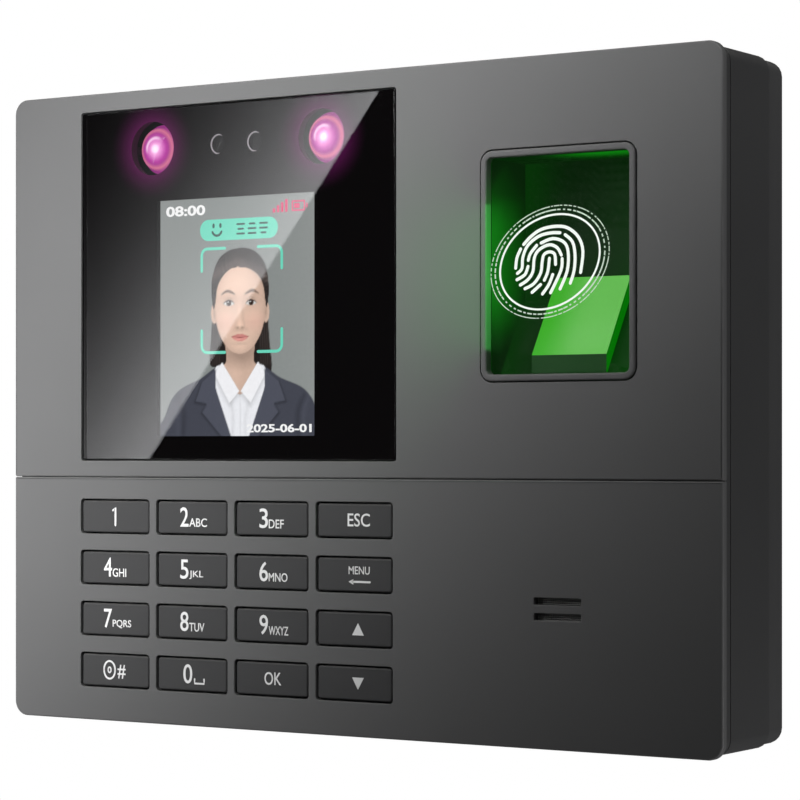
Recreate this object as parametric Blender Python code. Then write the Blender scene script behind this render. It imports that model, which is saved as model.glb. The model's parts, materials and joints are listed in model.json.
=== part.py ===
"""Wall terminal with a fingerprint reader, a face camera and a keypad, piece by piece.

Sizes are in millimetres and become metres where vertices are made. The wall is the
plane y = 0, the front faces -Y, X runs to the right as seen from the front, Z is up,
and the origin is the middle of the wall bracket's rear face.
"""

import math
from dataclasses import dataclass

import bmesh
import bpy

MM = 0.001
ARC_STEPS = 5
ROUND_STEPS = 24
SMALL_ROUND_STEPS = 12

# Driving sizes of the whole terminal.
WIDTH = 182.0
HEIGHT = 142.0
DEPTH = 31.0
CORNER_RADIUS = 3.4
WALL = 2.0
GAP = 0.3
WALL_CLEARANCE = 0.5

# Front panels and the deck behind them.
PANEL_THICKNESS = 1.6
PANEL_CHAMFER = 0.3
DECK_THICKNESS = 2.0
HOUSING_INSET = 0.5
SEAM_BELOW_WINDOW = 4.0

# Rear cover.
COVER_DEPTH = 8.4
COVER_INSET = 0.9
COVER_EDGE_RADIUS = 2.2
GROOVE_FROM_DECK = 2.3
GROOVE_SIZE = 0.3

# Display window and what looks through it.
WINDOW_LEFT = 20.0
WINDOW_TOP = 4.4
WINDOW_WIDTH = 85.0
WINDOW_HEIGHT = 78.5
WINDOW_THICKNESS = 1.4
WINDOW_SINK = 0.1
SENSOR_ROW_BELOW_TOP = 8.8
LED_SPACING = 45.9
LED_HOLE_RADIUS = 6.4
LED_BASE_RADIUS = 5.6
LED_LENS_RADIUS = 4.9
CAMERA_SPACING = 10.0
CAMERA_RADIUS = 3.0
CAMERA_BASE_RADIUS = 4.0
FACE_BOARD_SIZE = (66.0, 13.0)
SENSOR_STACK = 4.4

# Colour display.
LCD_SIZE = (47.0, 60.0)
LCD_VIEW_SIZE = (44.2, 54.0)
LCD_OFFSET = 0.5
LCD_BELOW_TOP = 47.0
LCD_THICKNESS = 1.4
GASKET_THICKNESS = 0.8
BACKLIGHT_THICKNESS = 2.5

# Keypad.
KEY_NAMES = (
    ("1", "2", "3", "esc"),
    ("4", "5", "6", "menu"),
    ("7", "8", "9", "up"),
    ("power", "0", "ok", "down"),
)
KEY_HOLE_SIZE = (19.8, 7.9)
KEY_EDGE = 0.25
KEYPAD_OFFSET = -0.5
KEY_BETWEEN = (1.9, 3.7)
KEY_HOLE_RADIUS = 0.9
KEY_CLEARANCE = 0.4
KEY_SINK = 0.3
KEY_TRAVEL = 1.0
KEY_FLANGE_THICKNESS = 1.0
KEY_FLANGE_OVERLAP = 0.6
FIRST_KEY_BELOW_SEAM = 8.9
MAT_THICKNESS = 0.8
MAT_MARGIN = 1.3
DOME_HEIGHT = 0.6
DOME_RADIUS = 2.2
BOARD_THICKNESS = 1.2

# Finger recess.
FINGER_FROM_RIGHT = 37.5
FINGER_BELOW_TOP = 19.0
BEZEL_SIZE = (36.2, 47.6)
BEZEL_RADIUS = 2.6
BEZEL_RING = 1.4
BEZEL_PROUD = 0.4
WELL_DEPTH = 15.6
WELL_WALL = 1.2
PLATEN_WIDTH = 17.6
PLATEN_EDGE_DEPTH = 4.8
PLATEN_EDGE_HEIGHT = 4.0
PLATEN_BACK_GAP = 0.4
PLATEN_TILT = math.radians(57.8)
PRISM_THICKNESS = 2.3
PRISM_WINDOW = (13.0, 9.0)
LIGHT_WINDOW_UP_SLOPE = 8.8
LAMP_STRIP_SIZE = (16.0, 5.0)
LAMP_STRIP_UP_SLOPE = 3.5
LAMP_STRIP_THICKNESS = 1.0
FINGER_BOARD_SIZE = (30.0, 34.0)
FINGER_BOARD_ABOVE_WELL = 9.2
FINGER_CAMERA_RADIUS = 3.2
FINGER_CAMERA_LENGTH = 3.5
FINGER_CAMERA_RIM = (1.2, 0.8)
FINGER_CAMERA_ABOVE_WELL = 4.7

# Speaker and its slots.
SPEAKER_ABOVE_BOTTOM = 28.7
SPEAKER_RADIUS = 10.0
SPEAKER_MAGNET_RADIUS = 6.5
SPEAKER_FLANGE = 2.0
SPEAKER_DEPTH = 4.8
SLOT_SIZE = (11.1, 1.5)
SLOT_PITCH = 3.2

# Boards and power.
BOARD_CORNER = 1.0
MAIN_BOARD_FRONT = 14.0
MAIN_BOARD_THICKNESS = 1.6
MAIN_BOARD_MARGIN = 9.0
BOARD_LEG_WIDTH = 39.0
BOARD_LEG_HEIGHT = 10.0
BOARD_POST_FROM_EDGE = 17.0
SHIELD_SIZE = (30.0, 30.0)
SHIELD_HEIGHT = 2.4
CELL_RADIUS = 10.0
CELL_HEIGHT = 3.2
BATTERY_SIZE = (42.0, 44.0)
BATTERY_THICKNESS = 6.0
BATTERY_BELOW_WELL = 8.6
BATTERY_BEHIND_DECK = 6.5
BATTERY_FROM_RIGHT = 11.0
RIBBON_THICKNESS = 0.3
RIBBON_WIDTH = 14.0
RIBBON_TAIL = (8.0, 7.0)
POST_RADIUS = 1.8
SMALL_POST_RADIUS = 1.2

# Sockets in the bottom wall.
USB_FROM_RIGHT = 55.0
USB_BODY = (13.6, 6.8, 14.0)
USB_MOUTH = (12.2, 4.8)
USB_CAVITY_DEPTH = 10.0
USB_TONGUE = (10.8, 1.4)
DC_FROM_RIGHT = 33.0
DC_BODY = (9.0, 9.0, 13.5)
DC_BORE_RADIUS = 3.2
DC_PIN_RADIUS = 0.9
SOCKET_CAVITY_DEPTH = 10.0
SOCKET_TIP_DEPTH = 2.4

# Rear screws.
SCREW_FROM_EDGE = 8.0
SCREW_RADIUS = 1.4
SCREW_HEAD_RADIUS = 2.6
SCREW_HEAD_HEIGHT = 1.1
SCREW_LENGTH = 14.0
SCREW_POST_RADIUS = 3.4
SCREW_HOLE_CLEARANCE = 0.35

# Wall bracket and its hooks.
BRACKET_SIZE = (100.0, 80.0)
BRACKET_THICKNESS = 1.2
BRACKET_RADIUS = 4.0
BRACKET_HOLE_RADIUS = 2.3
BRACKET_HOLE_INSET = 9.0
HOOK_SPACING = (60.0, 48.0)
HOOK_WIDTH = 8.0
HOOK_LIP = 3.5
LIFT_TRAVEL = 5.0
POCKET_DEPTH = 1.8
POCKET_MARGIN = 1.0

# Planes and centres that follow from the sizes above.
FRONT = -DEPTH
PANEL_REAR = FRONT + PANEL_THICKNESS
DECK_FRONT = PANEL_REAR + GAP
DECK_REAR = DECK_FRONT + DECK_THICKNESS
COVER_REAR = -WALL_CLEARANCE
COVER_FRONT = COVER_REAR - COVER_DEPTH
HOUSING_REAR = COVER_FRONT - GAP
WINDOW_X = -WIDTH / 2 + WINDOW_LEFT + WINDOW_WIDTH / 2
WINDOW_TOP_Z = HEIGHT / 2 - WINDOW_TOP
WINDOW_Z = WINDOW_TOP_Z - WINDOW_HEIGHT / 2
WINDOW_FRONT = FRONT + WINDOW_SINK
WINDOW_REAR = WINDOW_FRONT + WINDOW_THICKNESS
SENSOR_Z = WINDOW_TOP_Z - SENSOR_ROW_BELOW_TOP
SENSOR_BASE = DECK_FRONT + SENSOR_STACK + GAP
FACE_BOARD_FRONT = SENSOR_BASE + GAP
LCD_X = WINDOW_X + LCD_OFFSET
LCD_Z = WINDOW_TOP_Z - LCD_BELOW_TOP
GASKET_FRONT = WINDOW_REAR + GAP
LCD_FRONT = GASKET_FRONT + GASKET_THICKNESS + GAP
BACKLIGHT_FRONT = LCD_FRONT + LCD_THICKNESS + GAP
BACKLIGHT_REAR = BACKLIGHT_FRONT + BACKLIGHT_THICKNESS
SEAM_Z = WINDOW_TOP_Z - WINDOW_HEIGHT - SEAM_BELOW_WINDOW
KEYPAD_X = WINDOW_X + KEYPAD_OFFSET
KEY_PITCH = (KEY_HOLE_SIZE[0] + KEY_BETWEEN[0], KEY_HOLE_SIZE[1] + KEY_BETWEEN[1])
FIRST_KEY_Z = SEAM_Z - FIRST_KEY_BELOW_SEAM
KEYPAD_SPAN = (
    KEY_PITCH[0] * (len(KEY_NAMES[0]) - 1) + KEY_HOLE_SIZE[0],
    KEY_PITCH[1] * (len(KEY_NAMES) - 1) + KEY_HOLE_SIZE[1],
)
KEYPAD_Z = FIRST_KEY_Z + KEY_HOLE_SIZE[1] / 2 - KEYPAD_SPAN[1] / 2
KEY_FLANGE_FRONT = DECK_REAR + GAP
KEY_REAR = KEY_FLANGE_FRONT + KEY_FLANGE_THICKNESS
DOME_FRONT = KEY_REAR + KEY_TRAVEL + GAP
MAT_FRONT = DOME_FRONT + DOME_HEIGHT
KEY_BOARD_FRONT = MAT_FRONT + MAT_THICKNESS + GAP
KEY_BOARD_REAR = KEY_BOARD_FRONT + BOARD_THICKNESS
KEY_BOARD_SIZE = (KEYPAD_SPAN[0] + 6.4, KEYPAD_SPAN[1] + 8.2)
KEY_POST_OFFSET = (KEYPAD_SPAN[0] / 2 - 4.0, KEYPAD_SPAN[1] / 2 + 2.9)
FINGER_X = WIDTH / 2 - FINGER_FROM_RIGHT
FINGER_Z = HEIGHT / 2 - FINGER_BELOW_TOP - BEZEL_SIZE[1] / 2
WELL_SIZE = (BEZEL_SIZE[0] - 2 * BEZEL_RING, BEZEL_SIZE[1] - 2 * BEZEL_RING)
WELL_BACK = FRONT + WELL_DEPTH
WELL_BOTTOM = FINGER_Z - WELL_SIZE[1] / 2
PLATEN_Y = FRONT + PLATEN_EDGE_DEPTH
PLATEN_Z = WELL_BOTTOM + PLATEN_EDGE_HEIGHT
PLATEN_RUN = WELL_BACK - PLATEN_BACK_GAP - PLATEN_Y
PLATEN_SLOPE = math.tan(PLATEN_TILT)
PLATEN_RISE = PLATEN_RUN * PLATEN_SLOPE
FINGER_BOARD_FRONT = WELL_BACK + WELL_WALL + GAP
SPEAKER_Z = -HEIGHT / 2 + SPEAKER_ABOVE_BOTTOM
BOARD_FRONT = -MAIN_BOARD_FRONT
BOARD_REAR = BOARD_FRONT + MAIN_BOARD_THICKNESS
BOARD_LEFT = KEYPAD_X - KEY_BOARD_SIZE[0] / 2 - 4.5
BOARD_RIGHT = FINGER_X - WELL_SIZE[0] / 2 - WELL_WALL - 4.5
BOARD_TOP = HEIGHT / 2 - MAIN_BOARD_MARGIN
BOARD_POSTS_X = (BOARD_LEFT + 2.0, KEYPAD_X + KEY_BOARD_SIZE[0] / 2 + 5.0)
BOARD_POST_Z = HEIGHT / 2 - BOARD_POST_FROM_EDGE
BATTERY_X = WIDTH / 2 - BATTERY_FROM_RIGHT - BATTERY_SIZE[0] / 2
BATTERY_Z = WELL_BOTTOM - WELL_WALL - BATTERY_BELOW_WELL - BATTERY_SIZE[1] / 2
BATTERY_FRONT = DECK_REAR + BATTERY_BEHIND_DECK
SOCKET_TOP = -HEIGHT / 2 + HOUSING_INSET + WALL + GAP
SCREW_X = WIDTH / 2 - SCREW_FROM_EDGE
SCREW_Z = HEIGHT / 2 - SCREW_FROM_EDGE
POCKET_FLOOR = COVER_REAR - POCKET_DEPTH
POCKET_INSIDE = POCKET_FLOOR - WALL
COVER_INSIDE = COVER_REAR - WALL
HOOK_LIP_REAR = POCKET_INSIDE - GAP
HOOK_FRONT = HOOK_LIP_REAR - BRACKET_THICKNESS

PLACE = {
    "X": lambda u, v, depth: (depth, u, v),
    "Y": lambda u, v, depth: (u, depth, v),
    "Z": lambda u, v, depth: (u, v, depth),
}


@dataclass(frozen=True)
class Rect:
    """Rectangle outline; each corner has its own radius, from bottom left, anticlockwise."""

    left: float
    right: float
    bottom: float
    top: float
    radii: tuple = (0.0, 0.0, 0.0, 0.0)

    def points(self):
        corners = (
            (self.left, self.bottom, 1, 1, 180),
            (self.right, self.bottom, -1, 1, 270),
            (self.right, self.top, -1, -1, 0),
            (self.left, self.top, 1, -1, 90),
        )
        found = []
        for (u, v, toward_u, toward_v, start), radius in zip(corners, self.radii):
            if radius <= 0:
                found.append((u, v))
                continue
            for step in range(ARC_STEPS + 1):
                angle = math.radians(start + 90 * step / ARC_STEPS)
                across = u + radius * (toward_u + math.cos(angle))
                up = v + radius * (toward_v + math.sin(angle))
                found.append((across, up))
        return found

    def grown(self, amount):
        radii = tuple(max(radius + amount, 0.1) if radius > 0 else 0.0 for radius in self.radii)
        return Rect(
            self.left - amount, self.right + amount, self.bottom - amount, self.top + amount, radii
        )


@dataclass(frozen=True)
class Circle:
    """Circle outline."""

    u: float
    v: float
    radius: float
    steps: int = ROUND_STEPS

    def points(self):
        turn = 2 * math.pi / self.steps
        return [
            (self.u + self.radius * math.cos(turn * i), self.v + self.radius * math.sin(turn * i))
            for i in range(self.steps)
        ]

    def grown(self, amount):
        return Circle(self.u, self.v, self.radius + amount, self.steps)


@dataclass(frozen=True)
class Polygon:
    """Outline through given corners."""

    corners: tuple

    def points(self):
        return list(self.corners)


def rect(u, v, size, radius=0.0):
    """Rectangle about a centre, with one radius at all corners."""
    half_u, half_v = size[0] / 2, size[1] / 2
    return Rect(u - half_u, u + half_u, v - half_v, v + half_v, (radius,) * 4)


class Solid:
    """One closed body, drawn as flat loops that walls and caps join."""

    def __init__(self, axis="Y"):
        self.bm = bmesh.new()
        self.place = PLACE[axis]

    def loop(self, shape, depth):
        points = [self.place(u, v, depth) for u, v in shape.points()]
        verts = [self.bm.verts.new([value * MM for value in point]) for point in points]
        for first, second in zip(verts, verts[1:] + verts[:1]):
            self.bm.edges.new((first, second))
        return verts

    def wall(self, *loops):
        """Joins each loop to the next, which has as many points."""
        for near, far in zip(loops, loops[1:]):
            for i in range(len(near)):
                j = (i + 1) % len(near)
                self.bm.faces.new((near[i], near[j], far[j], far[i]))

    def cap(self, *loops):
        """Fills the flat area that one outer loop and any holes leave."""
        edges = []
        for loop in loops:
            for first, second in zip(loop, loop[1:] + loop[:1]):
                edges.append(self.bm.edges.get((first, second)))
        bmesh.ops.triangle_fill(self.bm, edges=edges, use_beauty=True)

    def tube(self, shape, start, end):
        """Wall of one outline between two depths; gives its two loops."""
        first, last = self.loop(shape, start), self.loop(shape, end)
        self.wall(first, last)
        return first, last

    def finish(self, name, material, origin=(0.0, 0.0, 0.0), tilt=0.0):
        """Makes the object, with its origin at the given place and its tilt about X."""
        bmesh.ops.recalc_face_normals(self.bm, faces=self.bm.faces)
        if tilt == 0.0:
            offset = [-value * MM for value in origin]
            bmesh.ops.translate(self.bm, vec=offset, verts=self.bm.verts)
        mesh = bpy.data.meshes.new(name)
        self.bm.to_mesh(mesh)
        self.bm.free()
        mesh.shade_smooth()
        mesh.set_sharp_from_angle(angle=math.radians(32))
        mesh.materials.append(material)
        obj = bpy.data.objects.new(name, mesh)
        obj.location = [value * MM for value in origin]
        obj.rotation_euler = (tilt, 0.0, 0.0)
        bpy.context.scene.collection.objects.link(obj)
        return obj


def plate(outer, holes, front, rear, chamfer=0.0, axis="Y"):
    """Flat plate with holes; chamfer eases its front edges."""
    solid = Solid(axis)
    front_loops, rear_loops = [], []
    for number, shape in enumerate((outer, *holes)):
        edge, back = solid.tube(shape, front + chamfer, rear)
        if chamfer > 0:
            eased = solid.loop(shape.grown(-chamfer if number == 0 else chamfer), front)
            solid.wall(eased, edge)
            edge = eased
        front_loops.append(edge)
        rear_loops.append(back)
    solid.cap(*front_loops)
    solid.cap(*rear_loops)
    return solid


def turned(u, v, profile, axis="Y", steps=ROUND_STEPS):
    """Turned body from (depth, radius) pairs along its axis."""
    solid = Solid(axis)
    loops = [solid.loop(Circle(u, v, radius, steps), depth) for depth, radius in profile]
    solid.wall(*loops)
    solid.cap(loops[0])
    solid.cap(loops[-1])
    return solid


def carve(target, tool, operation):
    """Applies one boolean to the target and removes the tool."""
    modifier = target.modifiers.new(operation.lower(), "BOOLEAN")
    modifier.operation = operation
    modifier.object = tool
    modifier.solver = "EXACT"
    bpy.context.view_layer.update()
    graph = bpy.context.evaluated_depsgraph_get()
    made = bpy.data.meshes.new_from_object(target.evaluated_get(graph))
    target.modifiers.remove(modifier)
    old = target.data
    made.name = old.name
    target.data = made
    bpy.data.meshes.remove(old)
    bpy.data.objects.remove(tool)


def material(name, colour, roughness, metallic=0.0):
    """Principled material of one finish."""
    made = bpy.data.materials.new(name)
    made.use_nodes = True
    shader = made.node_tree.nodes["Principled BSDF"]
    shader.inputs["Base Color"].default_value = (*colour, 1.0)
    shader.inputs["Roughness"].default_value = roughness
    shader.inputs["Metallic"].default_value = metallic
    return made


def make_materials():
    """Every finish of the terminal, by slot name."""
    finishes = {
        "panel_plastic": ((0.105, 0.107, 0.110), 0.48, 0.0),
        "housing_plastic": ((0.045, 0.046, 0.048), 0.55, 0.0),
        "key_plastic": ((0.060, 0.061, 0.063), 0.50, 0.0),
        "bezel_plastic": ((0.070, 0.071, 0.073), 0.42, 0.0),
        "well_plastic": ((0.010, 0.075, 0.015), 0.30, 0.0),
        "window_glass": ((0.004, 0.003, 0.004), 0.06, 0.0),
        "display_glass": ((0.52, 0.54, 0.55), 0.15, 0.0),
        "prism_glass": ((0.12, 0.50, 0.09), 0.12, 0.0),
        "led_lens": ((0.95, 0.30, 0.80), 0.10, 0.0),
        "camera_black": ((0.012, 0.012, 0.014), 0.18, 0.0),
        "circuit_board": ((0.020, 0.110, 0.045), 0.40, 0.0),
        "white_plastic": ((0.78, 0.78, 0.76), 0.45, 0.0),
        "black_plastic": ((0.020, 0.020, 0.021), 0.45, 0.0),
        "silicone": ((0.30, 0.31, 0.32), 0.70, 0.0),
        "foam": ((0.015, 0.015, 0.015), 0.95, 0.0),
        "cell_wrap": ((0.08, 0.16, 0.32), 0.35, 0.0),
        "flex_cable": ((0.55, 0.30, 0.06), 0.30, 0.0),
        "plated_steel": ((0.62, 0.62, 0.60), 0.28, 1.0),
        "zinc_steel": ((0.48, 0.49, 0.50), 0.42, 1.0),
    }
    return {name: material(name, *values) for name, values in finishes.items()}


def window_rect():
    """Outline of the display window."""
    return rect(WINDOW_X, WINDOW_Z, (WINDOW_WIDTH, WINDOW_HEIGHT))


def bezel_rect():
    """Outline of the finger recess's bezel."""
    return rect(FINGER_X, FINGER_Z, BEZEL_SIZE, BEZEL_RADIUS)


def well_rect():
    """Opening of the finger well."""
    return rect(FINGER_X, FINGER_Z, WELL_SIZE)


def key_centres():
    """Name, X and Z of each key."""
    left = KEYPAD_X - KEY_PITCH[0] * (len(KEY_NAMES[0]) - 1) / 2
    for row, names in enumerate(KEY_NAMES):
        for column, name in enumerate(names):
            yield name, left + KEY_PITCH[0] * column, FIRST_KEY_Z - KEY_PITCH[1] * row


def key_holes():
    """Outlines of the key openings."""
    return [rect(x, z, KEY_HOLE_SIZE, KEY_HOLE_RADIUS) for _, x, z in key_centres()]


def speaker_slots():
    """Outlines of the two sound slots."""
    offsets = (SLOT_PITCH / 2, -SLOT_PITCH / 2)
    return [rect(FINGER_X, SPEAKER_Z + offset, SLOT_SIZE, 0.3) for offset in offsets]


def shell_rect(inset, radius):
    """Outline of the terminal's body, inset from the front panels' outline."""
    return rect(0.0, 0.0, (WIDTH - 2 * inset, HEIGHT - 2 * inset), radius)


def corner_places(x, z):
    """Four places, one in each corner."""
    return [(side * x, end * z) for end in (1, -1) for side in (-1, 1)]


def make_front_panels(finish):
    """Upper and lower front panels, which meet at the seam below the window."""
    half_width, half_height, radius = WIDTH / 2, HEIGHT / 2, CORNER_RADIUS
    upper = Rect(-half_width, half_width, SEAM_Z + GAP / 2, half_height, (0, 0, radius, radius))
    lower = Rect(-half_width, half_width, -half_height, SEAM_Z - GAP / 2, (radius, radius, 0, 0))
    upper_holes = [window_rect().grown(GAP), bezel_rect().grown(GAP)]
    lower_holes = [*key_holes(), *speaker_slots()]
    solid = plate(upper, upper_holes, FRONT, PANEL_REAR)
    solid.finish("front_upper_panel", finish, (0.0, FRONT, SEAM_Z))
    solid = plate(lower, lower_holes, FRONT, PANEL_REAR)
    solid.finish("front_lower_panel", finish, (0.0, FRONT, SEAM_Z))


def post_circles():
    """Plain posts that stand on the deck: outline and rear end of each."""
    posts = []
    for x in BOARD_POSTS_X:
        for z in (BOARD_POST_Z, -BOARD_POST_Z):
            posts.append((Circle(x, z, POST_RADIUS, SMALL_ROUND_STEPS), BOARD_FRONT - GAP))
    for x, z in corner_places(*KEY_POST_OFFSET):
        circle = Circle(KEYPAD_X + x, KEYPAD_Z + z, SMALL_POST_RADIUS, SMALL_ROUND_STEPS)
        posts.append((circle, KEY_BOARD_FRONT - GAP))
    for side in (-1, 1):
        x = WINDOW_X + side * (FACE_BOARD_SIZE[0] / 2 - 2.3)
        circle = Circle(x, SENSOR_Z, SMALL_POST_RADIUS, SMALL_ROUND_STEPS)
        posts.append((circle, FACE_BOARD_FRONT - GAP))
    for end in (-1, 1):
        x = BATTERY_X + BATTERY_SIZE[0] / 2 - 5.0
        z = BATTERY_Z + end * (BATTERY_SIZE[1] / 2 - 6.0)
        posts.append((Circle(x, z, POST_RADIUS, SMALL_ROUND_STEPS), BATTERY_FRONT - GAP))
    return posts


def deck_holes():
    """Openings in the deck behind the front panels."""
    holes = [rect(LCD_X, LCD_Z, LCD_SIZE).grown(GAP), well_rect().grown(WELL_WALL + GAP)]
    for side in (-1, 1):
        holes.append(Circle(WINDOW_X + side * LED_SPACING / 2, SENSOR_Z, LED_HOLE_RADIUS))
        x = WINDOW_X + side * CAMERA_SPACING / 2
        holes.append(Circle(x, SENSOR_Z, CAMERA_RADIUS + GAP, SMALL_ROUND_STEPS))
    return [*holes, *key_holes(), *speaker_slots()]


def make_main_housing(finish):
    """Housing: side walls, the deck that carries everything, and its posts."""
    outer = shell_rect(HOUSING_INSET, CORNER_RADIUS)
    inner = shell_rect(HOUSING_INSET + WALL, CORNER_RADIUS - WALL)
    solid = Solid()
    groove = DECK_FRONT + GROOVE_FROM_DECK
    sections = (
        (outer, DECK_FRONT),
        (outer, groove),
        (outer.grown(-GROOVE_SIZE), groove),
        (outer.grown(-GROOVE_SIZE), groove + GROOVE_SIZE),
        (outer, groove + GROOVE_SIZE),
        (outer, HOUSING_REAR),
    )
    skin = [solid.loop(shape, depth) for shape, depth in sections]
    solid.wall(*skin)
    deck_edge, rim = solid.tube(inner, DECK_REAR, HOUSING_REAR)
    solid.cap(skin[-1], rim)
    front_edges, rear_edges = [skin[0]], [deck_edge]
    for hole in deck_holes():
        front_edge, rear_edge = solid.tube(hole, DECK_FRONT, DECK_REAR)
        front_edges.append(front_edge)
        rear_edges.append(rear_edge)
    for circle, top in post_circles():
        foot, head = solid.tube(circle, DECK_REAR, top)
        solid.cap(head)
        rear_edges.append(foot)
    for x, z in corner_places(SCREW_X, SCREW_Z):
        foot, head = solid.tube(Circle(x, z, SCREW_POST_RADIUS), DECK_REAR, HOUSING_REAR - GAP)
        bore = Circle(x, z, SCREW_RADIUS + SCREW_HOLE_CLEARANCE, SMALL_ROUND_STEPS)
        bore_end = COVER_REAR - SCREW_LENGTH - 1.0
        mouth, floor = solid.tube(bore, HOUSING_REAR - GAP, bore_end)
        solid.cap(head, mouth)
        solid.cap(floor)
        rear_edges.append(foot)
    solid.cap(*front_edges)
    solid.cap(*rear_edges)
    housing = solid.finish("main_housing", finish)
    for outline in (usb_outlines()["wall_hole"], dc_outlines()["wall_hole"]):
        below, above = -HEIGHT / 2 - WALL, SOCKET_TOP
        tool = plate(outline, (), below, above, axis="Z").finish("wall_cutter", finish)
        carve(housing, tool, "DIFFERENCE")
    return housing


def pocket_rect():
    """Pocket in the rear cover that takes the bracket and lets it slide."""
    half_width = BRACKET_SIZE[0] / 2 + POCKET_MARGIN
    half_height = BRACKET_SIZE[1] / 2 + POCKET_MARGIN
    return Rect(-half_width, half_width, -half_height - LIFT_TRAVEL, half_height, (BRACKET_RADIUS,) * 4)


def hook_seats():
    """X and Z of the upper side of each hook's prong."""
    return [(x, z) for x, z in corner_places(HOOK_SPACING[0] / 2, HOOK_SPACING[1] / 2)]


def make_rear_cover(finish):
    """Rear cover with round rear edges, bracket pocket, hook slots and screw seats."""
    outer = shell_rect(COVER_INSET, CORNER_RADIUS)
    inner = shell_rect(COVER_INSET + WALL, CORNER_RADIUS - WALL)
    pocket = pocket_rect()
    solid = Solid()
    skin = [solid.loop(outer, COVER_FRONT)]
    for step in range(ARC_STEPS + 1):
        angle = math.pi / 2 * step / ARC_STEPS
        inset = COVER_EDGE_RADIUS * (1 - math.cos(angle))
        depth = COVER_REAR - COVER_EDGE_RADIUS * (1 - math.sin(angle))
        skin.append(solid.loop(outer.grown(-inset), depth))
    solid.wall(*skin)
    rim, inside_edge = solid.tube(inner, COVER_FRONT, COVER_INSIDE)
    solid.cap(skin[0], rim)
    pocket_mouth, pocket_foot = solid.tube(pocket, COVER_REAR, POCKET_FLOOR)
    boss_foot, boss_edge = solid.tube(pocket.grown(WALL), COVER_INSIDE, POCKET_INSIDE)
    rear_edges, inside_edges = [skin[-1], pocket_mouth], [inside_edge, boss_foot]
    for x, z in corner_places(SCREW_X, SCREW_Z):
        seat_depth = COVER_REAR - SCREW_HEAD_HEIGHT - GAP / 2
        mouth, seat = solid.tube(Circle(x, z, SCREW_HEAD_RADIUS + GAP), COVER_REAR, seat_depth)
        hole = Circle(x, z, SCREW_RADIUS + SCREW_HOLE_CLEARANCE, SMALL_ROUND_STEPS)
        hole_mouth, hole_end = solid.tube(hole, seat_depth, COVER_INSIDE)
        solid.cap(seat, hole_mouth)
        rear_edges.append(mouth)
        inside_edges.append(hole_end)
    floor_edges, boss_edges = [pocket_foot], [boss_edge]
    for x, z in hook_seats():
        half = HOOK_WIDTH / 2 + 2 * GAP
        reach = BRACKET_THICKNESS + LIFT_TRAVEL + GAP
        slot = Rect(x - half, x + half, z - reach, z + GAP)
        mouth, end = solid.tube(slot, POCKET_FLOOR, POCKET_INSIDE)
        floor_edges.append(mouth)
        boss_edges.append(end)
    for edges in (rear_edges, inside_edges, floor_edges, boss_edges):
        solid.cap(*edges)
    return solid.finish("rear_cover", finish, (0.0, COVER_REAR, 0.0))


def make_rear_screws(finish):
    """Four screws that hold the rear cover to the housing's posts."""
    head_end = COVER_REAR - SCREW_HEAD_HEIGHT
    profile = (
        (COVER_REAR - 0.1, SCREW_HEAD_RADIUS - 0.3),
        (COVER_REAR - 0.4, SCREW_HEAD_RADIUS),
        (head_end, SCREW_HEAD_RADIUS),
        (head_end, SCREW_RADIUS),
        (COVER_REAR - SCREW_LENGTH + 0.8, SCREW_RADIUS),
        (COVER_REAR - SCREW_LENGTH, SCREW_RADIUS / 2),
    )
    names = ("upper_left", "upper_right", "lower_left", "lower_right")
    for name, (x, z) in zip(names, corner_places(SCREW_X, SCREW_Z)):
        solid = turned(x, z, profile, steps=SMALL_ROUND_STEPS)
        solid.finish(f"rear_screw_{name}", finish, (x, COVER_REAR, z))


def make_wall_bracket(finish):
    """Steel plate with four screw holes and four hooks bent out of it."""
    holes = [
        Circle(x, z, BRACKET_HOLE_RADIUS, SMALL_ROUND_STEPS)
        for x, z in corner_places(
            BRACKET_SIZE[0] / 2 - BRACKET_HOLE_INSET, BRACKET_SIZE[1] / 2 - BRACKET_HOLE_INSET
        )
    ]
    outer = rect(0.0, 0.0, BRACKET_SIZE, BRACKET_RADIUS)
    bracket = plate(outer, holes, -BRACKET_THICKNESS, 0.0).finish("wall_bracket", finish)
    for x, z in hook_seats():
        under = z - BRACKET_THICKNESS
        profile = Polygon((
            (-BRACKET_THICKNESS / 2, z),
            (-BRACKET_THICKNESS / 2, under),
            (HOOK_FRONT, under),
            (HOOK_FRONT, z + HOOK_LIP),
            (HOOK_LIP_REAR, z + HOOK_LIP),
            (HOOK_LIP_REAR, z),
        ))
        left, right = x - HOOK_WIDTH / 2, x + HOOK_WIDTH / 2
        hook = plate(profile, (), left, right, axis="X").finish("hook", finish)
        carve(bracket, hook, "UNION")
    return bracket


def make_display(finishes):
    """Window glass, gasket, display panel and backlight, front to rear."""
    solid = plate(window_rect(), (), WINDOW_FRONT, WINDOW_REAR, chamfer=0.15)
    solid.finish("display_window", finishes["window_glass"], (WINDOW_X, WINDOW_FRONT, WINDOW_Z))
    outer, view = rect(LCD_X, LCD_Z, LCD_SIZE), rect(LCD_X, LCD_Z, LCD_VIEW_SIZE)
    origin = (LCD_X, LCD_FRONT, LCD_Z)
    solid = plate(outer, (view,), GASKET_FRONT, GASKET_FRONT + GASKET_THICKNESS)
    solid.finish("display_gasket", finishes["foam"], origin)
    solid = plate(outer, (), LCD_FRONT, LCD_FRONT + LCD_THICKNESS)
    solid.finish("lcd_panel", finishes["display_glass"], origin)
    solid = plate(outer, (), BACKLIGHT_FRONT, BACKLIGHT_REAR)
    solid.finish("lcd_backlight", finishes["white_plastic"], origin)


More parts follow.
